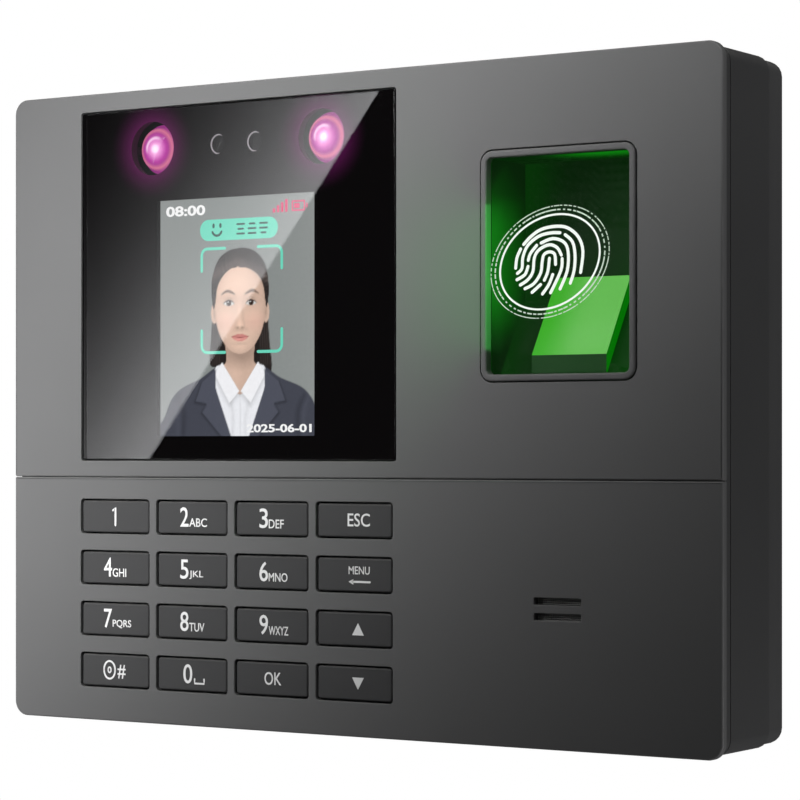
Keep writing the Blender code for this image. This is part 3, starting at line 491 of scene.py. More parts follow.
class Effects:
    """Shader groups that several finishes share, each built once."""

    _made: dict[str, bpy.types.NodeTree] = {}

    @classmethod
    def get(cls, name: str) -> bpy.types.NodeTree:
        """Gives a group by name and builds it the first time.

        Args:
            name: moulded_grain, rubbed_edges or settled_dust.

        Returns:
            The group's tree.
        """
        if name not in cls._made:
            tree = bpy.data.node_groups.new(name, "ShaderNodeTree")
            cls._made[name] = tree
            getattr(cls, f"_{name}")(Wiring(tree))
        return cls._made[name]

    @staticmethod
    def _ends(wiring: Wiring, inputs: dict[str, float], outputs: Sequence[str]) -> tuple[Any, Any]:
        """Adds the sockets and the two end nodes of a group."""
        for name, value in inputs.items():
            wiring.socket(name, "Float", value=value)
        for name in outputs:
            wiring.socket(name, "Float", out=True)
        return wiring.add("NodeGroupInput"), wiring.add("NodeGroupOutput")

    @classmethod
    def _moulded_grain(cls, wiring: Wiring) -> None:
        """Spark-eroded skin of a moulded part: fine pits, and slow changes of tone."""
        start, end = cls._ends(wiring, {"Fineness": 2600.0, "Mottle": 0.05}, ("Height", "Tone"))
        place = wiring.place()
        fineness = start.outputs["Fineness"]
        grain = wiring.noise(place, fineness, 3.0)
        wider = wiring.maths("MULTIPLY", fineness, 0.55)
        pits = wiring.add("ShaderNodeTexVoronoi", Vector=place, Scale=wider)
        height = wiring.maths("MULTIPLY_ADD", pits.outputs["Distance"], 0.6, grain)
        cloud = wiring.noise(place, 38.0, 4.0)
        swing = wiring.maths("SUBTRACT", cloud, 0.5)
        tone = wiring.maths("MULTIPLY_ADD", swing, start.outputs["Mottle"], 1.0)
        wiring.feed(end, "Height", height)
        wiring.feed(end, "Tone", tone)

    @classmethod
    def _rubbed_edges(cls, wiring: Wiring) -> None:
        """Mask of edges that hands have polished, broken up so that it isn't even."""
        start, end = cls._ends(wiring, {"Amount": 0.4}, ("Mask",))
        edge = wiring.add("ShaderNodeAttribute", settings={"attribute_name": "wear"})
        place = wiring.place()
        breaks = wiring.noise(place, 240.0, 5.0)
        share = wiring.between(breaks, 0.3, 0.7, 0.25, 1.0)
        rubbed = wiring.maths("MULTIPLY", edge.outputs["Fac"], share)
        mask = wiring.maths("MULTIPLY", rubbed, start.outputs["Amount"])
        wiring.feed(end, "Mask", mask)

    @classmethod
    def _settled_dust(cls, wiring: Wiring) -> None:
        """Mask of thin dust on faces that look up."""
        start, end = cls._ends(wiring, {"Amount": 0.3}, ("Mask",))
        normal = wiring.add("ShaderNodeNewGeometry").outputs["Normal"]
        upward = wiring.add("ShaderNodeSeparateXYZ", normal).outputs["Z"]
        facing = wiring.between(upward, 0.2, 1.0, 0.0, 1.0)
        place = wiring.place()
        specks = wiring.noise(place, 520.0, 6.0)
        share = wiring.between(specks, 0.42, 0.72, 0.15, 1.0)
        laid = wiring.maths("MULTIPLY", facing, share)
        mask = wiring.maths("MULTIPLY", laid, start.outputs["Amount"])
        wiring.feed(end, "Mask", mask)


# ---------------------------------------------------------------- finishes


@dataclass(frozen=True)
class Finish:
    """A finish that becomes one material, built once."""

    name: str
    colour: Colour
    roughness: float

    def start(self) -> tuple[bpy.types.Material, Wiring, Any]:
        """Makes an empty material with its shader."""
        made = bpy.data.materials.new(self.name)
        made.use_nodes = True
        made.node_tree.nodes.clear()
        made.diffuse_color = (*self.colour, 1.0)
        wiring = Wiring(made.node_tree)
        shader = wiring.add("ShaderNodeBsdfPrincipled")
        shader.inputs["Base Color"].default_value = (*self.colour, 1.0)
        shader.inputs["Roughness"].default_value = self.roughness
        wiring.add("ShaderNodeOutputMaterial", shader.outputs[0])
        return made, wiring, shader

    def material(self) -> bpy.types.Material:
        """Gives the material, and builds it the first time."""
        found = bpy.data.materials.get(self.name)
        if found is None:
            found, wiring, shader = self.start()
            self.dress(wiring, shader)
        return found

    def dress(self, wiring: Wiring, shader: Any) -> None:
        """Adds the finish's own nodes."""
        raise NotImplementedError


@dataclass(frozen=True)
class Moulded(Finish):
    """Moulded plastic or rubber with a fine skin, rubbed edges and a little dust."""

    fineness: float = 2600.0
    relief: float = 0.16
    mottle: float = 0.10
    wear: float = 0.35
    dust: float = 0.25
    coat: float = 0.0
    lit: float = 0.0

    def dress(self, wiring: Wiring, shader: Any) -> None:
        """Adds grain, wear and dust to the shader, and any light painted on the mesh."""
        if self.lit:
            light = wiring.add("ShaderNodeAttribute", settings={"attribute_name": "light"}).outputs["Color"]
            wiring.feed(shader, "Emission Color", light)
            shader.inputs["Emission Strength"].default_value = self.lit
        grain = wiring.add("ShaderNodeGroup", settings={"node_tree": Effects.get("moulded_grain")})
        grain.inputs["Fineness"].default_value = self.fineness
        grain.inputs["Mottle"].default_value = self.mottle
        rub = wiring.add("ShaderNodeGroup", settings={"node_tree": Effects.get("rubbed_edges")})
        rub.inputs["Amount"].default_value = self.wear
        dust = wiring.add("ShaderNodeGroup", settings={"node_tree": Effects.get("settled_dust")})
        dust.inputs["Amount"].default_value = self.dust
        tone = grain.outputs["Tone"]
        grey = wiring.add("ShaderNodeCombineColor", tone, tone, tone).outputs[0]
        toned = wiring.blended(1.0, self.colour, grey, "MULTIPLY")
        polished = tuple(min(1.0, value * 1.7 + 0.01) for value in self.colour)
        worn = wiring.blended(rub.outputs[0], toned, polished)
        dusty = wiring.blended(dust.outputs[0], worn, (0.30, 0.29, 0.27))
        wiring.feed(shader, "Base Color", dusty)
        smooth = wiring.maths("MULTIPLY_ADD", rub.outputs[0], -0.3, self.roughness)
        rough = wiring.maths("MULTIPLY", wiring.maths("MULTIPLY_ADD", dust.outputs[0], 0.3, smooth), tone)
        wiring.feed(shader, "Roughness", rough)
        bump = wiring.add("ShaderNodeBump", Strength=self.relief, Distance=0.00003)
        wiring.feed(bump, "Height", grain.outputs["Height"])
        wiring.feed(shader, "Normal", bump.outputs[0])
        shader.inputs["Coat Weight"].default_value = self.coat
        shader.inputs["Coat Roughness"].default_value = 0.08


@dataclass(frozen=True)
class Metal(Finish):
    """Sheet or turned metal with fine rolling lines and spots."""

    stretch: tuple[float, float, float] = (60.0, 60.0, 2200.0)

    def dress(self, wiring: Wiring, shader: Any) -> None:
        """Adds drawn lines and a spangled tone."""
        place = wiring.place()
        long = wiring.add("ShaderNodeMapping", place, Scale=self.stretch).outputs[0]
        lines = wiring.noise(long, 1.0, 6.0)
        spots = wiring.add("ShaderNodeTexVoronoi", Vector=place, Scale=420.0).outputs["Color"]
        spangle = wiring.add("ShaderNodeSeparateColor", spots).outputs[0]
        dull = tuple(value * 0.72 for value in self.colour)
        share = wiring.maths("MULTIPLY", spangle, 0.55)
        wiring.feed(shader, "Base Color", wiring.blended(share, self.colour, dull))
        rough = wiring.between(lines, 0.3, 0.7, self.roughness - 0.08, self.roughness + 0.12)
        wiring.feed(shader, "Roughness", rough)
        bump = wiring.add("ShaderNodeBump", Strength=0.12, Distance=0.00002, Height=lines)
        wiring.feed(shader, "Normal", bump.outputs[0])
        shader.inputs["Metallic"].default_value = 1.0


@dataclass(frozen=True)
class Glossy(Finish):
    """Smooth lacquer, ink or lens plastic with faint orange peel."""

    coat: float = 1.0
    specks: Colour = (0.2, 0.2, 0.2)

    def dress(self, wiring: Wiring, shader: Any) -> None:
        """Adds a wavy skin and a few specks."""
        place = wiring.place()
        peel = wiring.noise(place, 900.0, 2.0)
        fine = wiring.noise(place, 3400.0, 2.0)
        share = wiring.between(fine, 0.66, 0.8, 0.0, 0.12)
        wiring.feed(shader, "Base Color", wiring.blended(share, self.colour, self.specks))
        bump = wiring.add("ShaderNodeBump", Strength=0.04, Distance=0.00001, Height=peel)
        wiring.feed(shader, "Normal", bump.outputs[0])
        shader.inputs["Coat Weight"].default_value = self.coat
        shader.inputs["Coat Roughness"].default_value = 0.03


@dataclass(frozen=True)
class Ink(Finish):
    """Dead black print that catches the purple light of the lamps near it."""

    halo: Colour = (0.10, 0.008, 0.075)
    near: float = 0.006
    far: float = 0.0125

    def dress(self, wiring: Wiring, shader: Any) -> None:
        """Adds a soft halo round each lamp, and a faint screen in the print."""
        place = wiring.place()
        levels = []
        for hand in ("left", "right"):
            middle = Span.of(f"infrared_lamp_{hand}").middle * MM
            away = wiring.add(
                "ShaderNodeVectorMath", place, tuple(middle), settings={"operation": "DISTANCE"}
            )
            levels.append(wiring.between(away.outputs["Value"], self.near, self.far, 1.0, 0.0))
        share = wiring.maths("MULTIPLY", *[wiring.maths("MAXIMUM", *levels)] * 2)
        wiring.tree.links.new(
            wiring.blended(share, (0.0008, 0.0004, 0.0006), self.halo), shader.inputs["Emission Color"]
        )
        shader.inputs["Emission Strength"].default_value = 1.0
        fine = wiring.noise(place, 3400.0, 2.0)
        tone = wiring.between(fine, 0.6, 0.8, 0.0, 0.4)
        lighter = tuple(value * 2.0 for value in self.colour)
        wiring.feed(shader, "Base Color", wiring.blended(tone, self.colour, lighter))
        shader.inputs["Specular IOR Level"].default_value = 0.0


@dataclass(frozen=True)
class Clear(Finish):
    """Clear sheet with a polished skin."""

    def dress(self, wiring: Wiring, shader: Any) -> None:
        """Makes the shader glass with the faintest smears."""
        place = wiring.place()
        smear = wiring.noise(place, 70.0, 3.0)
        rough = wiring.between(smear, 0.4, 0.75, self.roughness, self.roughness + 0.02)
        wiring.feed(shader, "Roughness", rough)
        shader.inputs["Transmission Weight"].default_value = 1.0
        shader.inputs["IOR"].default_value = 1.49


@dataclass(frozen=True)
class Film(Finish):
    """Film so clear that it hardly shows."""

    alpha: float = 0.03

    def dress(self, wiring: Wiring, shader: Any) -> None:
        """Makes the shader nearly all see-through, with a slight haze."""
        place = wiring.place()
        haze = wiring.noise(place, 160.0, 3.0)
        rough = wiring.between(haze, 0.3, 0.7, self.roughness, self.roughness + 0.2)
        wiring.feed(shader, "Roughness", rough)
        shader.inputs["Alpha"].default_value = self.alpha


@dataclass(frozen=True)
class Lit(Finish):
    """Surface whose own light comes from the colours painted on its mesh."""

    strength: float = 1.0
    coat: float = 0.0
    flicker: float = 0.04
    specular: float = 0.5

    def dress(self, wiring: Wiring, shader: Any) -> None:
        """Sends the painted light to the shader's emission."""
        light = wiring.add("ShaderNodeAttribute", settings={"attribute_name": "light"}).outputs["Color"]
        place = wiring.place()
        cell = wiring.noise(place, 1500.0, 1.0)
        share = wiring.between(cell, 0.35, 0.65, 1.0 - self.flicker, 1.0)
        grey = wiring.add("ShaderNodeCombineColor", share, share, share).outputs[0]
        glow = wiring.blended(1.0, light, grey, "MULTIPLY")
        wiring.feed(shader, "Emission Color", glow)
        shader.inputs["Emission Strength"].default_value = self.strength
        shader.inputs["Coat Weight"].default_value = self.coat
        shader.inputs["Coat Roughness"].default_value = 0.05
        shader.inputs["Specular IOR Level"].default_value = self.specular


@dataclass(frozen=True)
class Backlit(Finish):
    """Print or light guide that glows in one colour; on the face cameras' stop rings the glow is a painted
    highlight.
    """

    glow: Colour = (1.0, 1.0, 1.0)
    strength: float = 1.0

    def dress(self, wiring: Wiring, shader: Any) -> None:
        """Gives the shader an even glow with a fine screen in it."""
        place = wiring.place()
        cell = wiring.noise(place, 2200.0, 1.0)
        share = wiring.between(cell, 0.3, 0.7, 0.0, 0.12)
        dimmer = tuple(value * 0.8 for value in self.glow)
        wiring.feed(shader, "Emission Color", wiring.blended(share, self.glow, dimmer))
        shader.inputs["Emission Strength"].default_value = self.strength


@dataclass(frozen=True)
class Board(Finish):
    """Circuit board: lacquer over copper tracks."""

    def dress(self, wiring: Wiring, shader: Any) -> None:
        """Adds tracks under the lacquer."""
        place = wiring.place()
        cells = wiring.add(
            "ShaderNodeTexVoronoi", Vector=place, Scale=310.0, settings={"distance": "MANHATTAN"}
        ).outputs["Distance"]
        bands = wiring.maths("FRACT", wiring.maths("MULTIPLY", cells, 5.0))
        track = wiring.between(bands, 0.55, 0.62, 0.0, 1.0)
        over = tuple(value * 1.9 + 0.01 for value in self.colour)
        wiring.feed(shader, "Base Color", wiring.blended(track, self.colour, over))
        bump = wiring.add("ShaderNodeBump", Strength=0.3, Distance=0.00003, Height=track)
        wiring.feed(shader, "Normal", bump.outputs[0])
        shader.inputs["Coat Weight"].default_value = 0.6


class Stock(Enum):
    """Every finish of the terminal."""

    PANEL = Moulded("panel_plastic_matt", (0.085, 0.085, 0.086), 0.50, wear=0.45, dust=0.2)
    HOUSING = Moulded("housing_plastic_matt", (0.040, 0.040, 0.041), 0.52, fineness=2200.0)
    COVER = Moulded("cover_plastic_matt", (0.048, 0.048, 0.049), 0.54, fineness=2000.0, mottle=0.14)
    KEY = Moulded("key_plastic_matt", (0.036, 0.036, 0.037), 0.46, fineness=3200.0, relief=0.1, wear=0.5)
    LEGEND = Moulded("legend_print", (0.62, 0.62, 0.62), 0.5, fineness=5200.0, relief=0.05, dust=0.0)
    BEZEL = Moulded("bezel_plastic_satin", (0.085, 0.085, 0.086), 0.36, fineness=3600.0, relief=0.08, lit=1.0)
    BLACK = Moulded("black_plastic_matt", (0.016, 0.016, 0.017), 0.5, dust=0.1)
    WHITE = Moulded("diffuser_plastic", (0.76, 0.76, 0.74), 0.42, relief=0.05, dust=0.05)
    RUBBER = Moulded("keypad_silicone", (0.28, 0.29, 0.30), 0.68, fineness=1500.0, wear=0.1, dust=0.1)
    FOAM = Moulded("gasket_foam", (0.014, 0.014, 0.014), 0.92, fineness=900.0, relief=0.8, wear=0.0)
    WRAP = Moulded("cell_wrap_film", (0.07, 0.15, 0.30), 0.32, fineness=420.0, relief=0.25, coat=0.4)
    STEEL = Metal("nickel_steel", (0.62, 0.62, 0.60), 0.26)
    ZINC = Metal("zinc_coated_steel", (0.50, 0.51, 0.52), 0.40, (900.0, 60.0, 60.0))
    INK = Ink("window_ink", (0.0012, 0.0008, 0.0010), 0.6)
    LENS = Glossy("lens_black", (0.010, 0.010, 0.014), 0.08)
    # camera stop ring: its glow is a painted highlight, not a lamp
    RIM = Backlit("lens_rim", (0.55, 0.52, 0.56), 0.22, (0.75, 0.68, 0.74), 0.42)
    FLEX = Glossy("ribbon_film", (0.46, 0.25, 0.05), 0.3, coat=0.5, specks=(0.7, 0.45, 0.2))
    GLASS = Clear("window_glass_clear", (1.0, 1.0, 1.0), 0.0)
    FILM = Film("guide_film_clear", (0.02, 0.03, 0.02), 0.25)
    PICTURE = Lit("display_picture", (0.01, 0.01, 0.01), 0.3, specular=0.0)
    LAMP = Lit("lamp_lens_glow", (0.10, 0.02, 0.08), 0.15, strength=1.0, coat=1.0)
    CUP = Lit("lamp_cup_lit", (0.006, 0.002, 0.005), 0.5, specular=0.1)
    WELL = Lit("well_plastic_lit", (0.006, 0.009, 0.006), 0.5, specular=0.12)
    PRISM = Lit("prism_glass_lit", (0.01, 0.05, 0.01), 0.3, coat=0.25)
    MARK = Backlit("guide_mark_light", (0.02, 0.02, 0.02), 0.4, (0.93, 1.0, 0.93), 0.95)
    MARK_FAINT = Backlit("guide_mark_faint", (0.02, 0.02, 0.02), 0.4, (0.74, 0.92, 0.74), 0.72)
    SCREEN_WHITE = Backlit("screen_white", (0.02, 0.02, 0.02), 0.4, (1.0, 1.0, 1.0), 0.95)
    SCREEN_MINT = Backlit("screen_mint", (0.02, 0.02, 0.02), 0.4, (0.18, 0.83, 0.62), 0.85)
    SCREEN_ROSE = Backlit("screen_rose", (0.02, 0.02, 0.02), 0.4, (0.83, 0.06, 0.20), 0.85)
    SCREEN_DARK = Backlit("screen_dark", (0.02, 0.02, 0.02), 0.4, (0.02, 0.10, 0.08), 0.8)
    BOARD = Board("board_lacquer", (0.012, 0.075, 0.030), 0.38)

    @property
    def made(self) -> bpy.types.Material:
        """The finish as a material."""
        return self.value.material()


class Grower(Wiring):
    """A Geometry Nodes tree with named sizes, whose result becomes a plain mesh."""

    def __init__(self, name: str) -> None:
        """Starts the tree.

        Args:
            name: name of the tree.
        """
        super().__init__(bpy.data.node_groups.new(name, "GeometryNodeTree"))
        self.values: dict[str, Any] = {}
        self.socket("Geometry", "Geometry")
        self.socket("Geometry", "Geometry", out=True)
        self.start = self.add("NodeGroupInput")
        self.end = self.add("NodeGroupOutput")

    def size(self, name: str, value: Any, kind: str = "Float") -> bpy.types.NodeSocket:
        """Adds a named input.

        Args:
            name: name of the size.
            value: its value for this object.
            kind: Float, Int or Vector.

        Returns:
            The socket that carries it.
        """
        made = self.tree.interface.new_socket(
            name=name, in_out="INPUT", socket_type=f"NodeSocket{kind}"
        )
        self.values[made.identifier] = value
        return self.start.outputs[name]

    def triple(self, x: Any = 0.0, y: Any = 0.0, z: Any = 0.0) -> bpy.types.NodeSocket:
        """Vector from three numbers."""
        return self.add("ShaderNodeCombineXYZ", x, y, z).outputs[0]

    def placed(self, shape: Any, move: Any = None, turn: Any = None, scale: Any = None) -> Any:
        """Geometry moved, turned and scaled."""
        node = self.add("GeometryNodeTransform", shape)
        for name, value in (("Translation", move), ("Rotation", turn), ("Scale", scale)):
            if isinstance(value, bpy.types.NodeSocket):
                self.tree.links.new(value, node.inputs[name])
            elif value is not None:
                node.inputs[name].default_value = value
        return node.outputs[0]

    def joined(self, *shapes: Any) -> bpy.types.NodeSocket:
        """Several geometries as one."""
        node = self.add("GeometryNodeJoinGeometry")
        for shape in shapes:
            self.tree.links.new(shape, node.inputs[0])
        return node.outputs[0]

    def grown(
        self, name: str, shape: Any, finish: bpy.types.Material, pattern: bpy.types.Mesh | None = None
    ) -> bpy.types.Object:
        """Ends the tree and turns its result into a piece.

        Args:
            name: name of the piece.
            shape: socket of the finished geometry.
            finish: material of the whole piece.
            pattern: mesh that the tree repeats, if it repeats one.

        Returns:
            The piece, as a plain mesh in mm turned to metres.
        """
        whole = self.add("GeometryNodeRealizeInstances", shape).outputs[0]
        dressed_shape = self.add("GeometryNodeSetMaterial", whole, Material=finish).outputs[0]
        self.tree.links.new(dressed_shape, self.end.inputs[0])
        obj = bpy.data.objects.new(name, pattern or bpy.data.meshes.new(name))
        bpy.context.scene.collection.objects.link(obj)
        modifier = obj.modifiers.new("grown", "NODES")
        modifier.node_group = self.tree
        for identifier, value in self.values.items():
            modifier[identifier] = value
        mesh = settled(obj)
        bpy.data.objects.remove(obj)
        mesh.transform(Matrix.Scale(MM, 4))
        return dressed(name, mesh, finish)


# ---------------------------------------------------------------- lettering and painted light


@dataclass(frozen=True)
class Lettering:
    """Thin raised letters and signs on a face that looks forwards, gathered into one piece."""

    depth: float
    thickness: float = 0.03

    def text(
        self, body: str, place: Point, size: Point, bold: float = 0.0, anchor: float = 0.5
    ) -> bpy.types.Mesh:
        """Mesh of a word.

        Args:
            body: the letters.
            place: where the word stands, level with its middle, in mm.
            size: its width and height, in mm.
            bold: how much each stroke swells, as a share of the height.
            anchor: share of the word's width that lies left of the place.

        Returns:
            The mesh, in mm.
        """
        curve = bpy.data.curves.new(f"text_{body}", "FONT")
        curve.body = body
        curve.resolution_u = 4
        curve.offset = bold
        curve.extrude = 0.01
        obj = bpy.data.objects.new(curve.name, curve)
        bpy.context.scene.collection.objects.link(obj)
        mesh = settled(obj)
        bpy.data.objects.remove(obj)
        co = np.array([vert.co for vert in mesh.vertices])
        low, long = co.min(0), np.ptp(co, axis=0)
        for vert in mesh.vertices:
            share = [(vert.co[axis] - low[axis]) / long[axis] for axis in range(3)]
            vert.co = (
                place[0] + (share[0] - anchor) * size[0],
                self.depth - share[2] * self.thickness,
                place[1] + (share[1] - 0.5) * size[1],
            )
        return mesh

    def piece(
        self, name: str, words: Sequence[Any], shapes: Iterable[Outline], finish: bpy.types.Material
    ) -> bpy.types.Object:
        """Joins words and flat signs into one piece.

        Args:
            name: name of the piece.
            words: meshes that text() made.
            shapes: outlines of the signs.
            finish: their material.

        Returns:
            The piece.
        """
        shell = Shell()
        for mesh in words:
            shell.bm.from_mesh(mesh)
            bpy.data.meshes.remove(mesh)
        bmesh.ops.remove_doubles(shell.bm, verts=shell.bm.verts, dist=1e-4)
        for outline in shapes:
            shell.plate(outline, self.depth - self.thickness, self.depth)
        return shell.piece(name, finish)


LightRule = Callable[[Vector, Vector], Colour]


def painted(obj: bpy.types.Object, rule: LightRule, cell: float) -> bpy.types.Object:
    """Cuts a piece's faces small and paints light on their corners.

    Args:
        obj: the piece.
        rule: gives a colour for a place in mm and the face's normal.
        cell: longest edge that is left, in mm.

    Returns:
        The piece.
    """
    bm = bmesh.new()
    bm.from_mesh(obj.data)
    for _ in range(6):
        long = [edge for edge in bm.edges if edge.calc_length() > cell * MM]
        if not long:
            break
        bmesh.ops.subdivide_edges(bm, edges=long, cuts=1, use_grid_fill=True)
    bmesh.ops.triangulate(bm, faces=[face for face in bm.faces if len(face.verts) > 4])
    layer = bm.loops.layers.float_color.new("light")
    for face in bm.faces:
        for loop in face.loops:
            loop[layer] = (*rule(loop.vert.co / MM, face.normal), 1.0)
    bm.to_mesh(obj.data)
    bm.free()
    return obj


def eased(value: float, start: float, end: float) -> float:
    """Smooth step from 0 at start to 1 at end."""
    share = min(1.0, max(0.0, (value - start) / (end - start)))
    return share * share * (3 - 2 * share)


def bell(value: float, middle: float, width: float) -> float:
    """Smooth hump about a middle."""
    return math.exp(-(((value - middle) / width) ** 2))


def scaled(colour: Colour, level: float) -> Colour:
    """A colour times a level."""
    return tuple(value * level for value in colour)


# ---------------------------------------------------------------- case


@dataclass
class FrontCase:
    """Front panels, housing and rear cover."""

    corner: float = 3.4
    roll: float = 0.42
    gap: float = 0.3
    seam_close: float = 0.08
    bezel_radius: float = 2.6
    key_hole_radius: float = 0.9
    slot_size: Point = (11.1, 1.5)
    slot_pitch: float = 3.2
    mesh_size: Point = (15.0, 8.0)
    mesh_pitch: float = 0.42
    wire_radius: float = 0.07

    def build(self) -> None:
        """Makes every piece of the case."""
        self._panel("front_upper_panel", (self.corner, self.corner, 0.3, 0.3), self._upper_holes())
        self._panel("front_lower_panel", (0.3, 0.3, self.corner, self.corner), self._lower_holes())
        traced("main_housing", "main_housing_shell", Stock.HOUSING.made)
        traced("rear_cover", "rear_cover_shell", Stock.COVER.made)
        self._speaker_mesh()

    def _panel(self, node: str, radii: Sequence[float], holes: list[Outline]) -> None:
        """One front panel with rolled edges."""
        room = Span.of(node)
        low, high = room.low.xz, room.high.xz
        closer = Vector((0.0, self.seam_close))
        if low.y > -Span.of("main_housing").size.z / 4:
            low -= closer
        else:
            high += closer
        outer = Outline.rounded((low + high) / 2, high - low, radii, 10)
        shell = Shell().plate(outer, room.low.y, room.high.y, holes, self.roll, 0.16)
        mounted(shell.piece(f"{node}_skin", Stock.PANEL.made), TERMINAL, node)

    def _upper_holes(self) -> list[Outline]:
        """Openings for the window and the finger bezel."""
        window, bezel = Span.of("display_window"), Span.of("finger_bezel")
        return [
            Outline.rounded(window.middle.xz, window.size.xz, 0.3, 3).grown(self.gap),
            Outline.rounded(bezel.middle.xz, bezel.size.xz, self.bezel_radius, 8).grown(self.gap),
        ]

    def _lower_holes(self) -> list[Outline]:
        """Openings for the keys and the two sound slots."""
        holes = []
        for key in Keypad.ORDER:
            room = Span.of(f"key_{key}")
            flange = room.size.xz - Vector((2.0, 2.0)) * Keypad.FLANGE
            holes.append(Outline.rounded(room.middle.xz, flange, self.key_hole_radius, 5))
        speaker = Span.of("speaker").middle
        for side in (0.5, -0.5):
            centre = (speaker.x, speaker.z + side * self.slot_pitch)
            holes.append(Outline.rounded(centre, self.slot_size, 0.3, 3))
        return holes

    def _speaker_mesh(self) -> None:
        """Woven wire screen behind the sound slots."""
        speaker, panel = Span.of("speaker").middle, Span.of("front_lower_panel")
        grower = Grower("speaker_screen")
        width = grower.size("Width", self.mesh_size[0])
        height = grower.size("Height", self.mesh_size[1])
        pitch = grower.size("Pitch", self.mesh_pitch)
        radius = grower.size("Wire Radius", self.wire_radius)
        depth = grower.size("Depth", panel.high.y + self.gap / 2)
        sets = []
        upright = (0.0, math.pi / 2, 0.0)
        for run, across, turn, lift in ((width, height, upright, 1), (height, width, None, -1)):
            wire = grower.add("GeometryNodeMeshCylinder", 5, 1, 1, radius, run).outputs[0]
            if turn:
                wire = grower.placed(wire, turn=turn)
            count = grower.maths("FLOOR", grower.maths("DIVIDE", across, pitch))
            line = grower.add("GeometryNodeMeshLine", Count=count)
            step = (0.0, pitch) if turn else (pitch, 0.0)
            grower.tree.links.new(grower.triple(step[0], 0.0, step[1]), line.inputs["Offset"])
            half = grower.maths("MULTIPLY", across, -0.5)
            begin = grower.triple(0.0, 0.0, half) if turn else grower.triple(half, 0.0, 0.0)
            grower.tree.links.new(begin, line.inputs["Start Location"])
            row = grower.add("GeometryNodeInstanceOnPoints", line.outputs[0], Instance=wire).outputs[0]
            raised = grower.maths("MULTIPLY", radius, 0.6 * lift)
            sets.append(grower.placed(row, move=grower.triple(0.0, raised)))
        whole = grower.placed(grower.joined(*sets), move=grower.triple(speaker.x, depth, speaker.z))
        mounted(grower.grown("speaker_screen", whole, Stock.STEEL.made), TERMINAL)


# ---------------------------------------------------------------- keys


@dataclass(frozen=True)
class Word:
    """A printed word: its place about the key's middle and its size, in mm."""

    body: str
    place: Point
    size: Point
    anchor: float = 0.5


@dataclass(frozen=True)
class Legend:
    """What is printed on one key."""

    words: tuple[Word, ...] = ()
    signs: tuple[Outline, ...] = ()


def _oval(centre: Point, reach: Point, width: float) -> tuple[Outline, ...]:
    """Oval ring cut into two half strokes."""
    halves = []
    for start in (0.0, math.pi):
        angles = [start + math.pi * step / 14 for step in range(15)]
        path = [(centre[0] + reach[0] * math.cos(a), centre[1] + reach[1] * math.sin(a)) for a in angles]
        halves.append(Outline.stroke(path, width, 2))
    return tuple(halves)


def _digit(digit: str, letters: str, width: float) -> Legend:
    """Legend of a number key with its letters at the lower right."""
    number = Word(digit, (-2.15, 0.15), (2.3, 4.3))
    return Legend((number, Word(letters, (-0.8, -1.05), (width, 1.9), 0.0)))


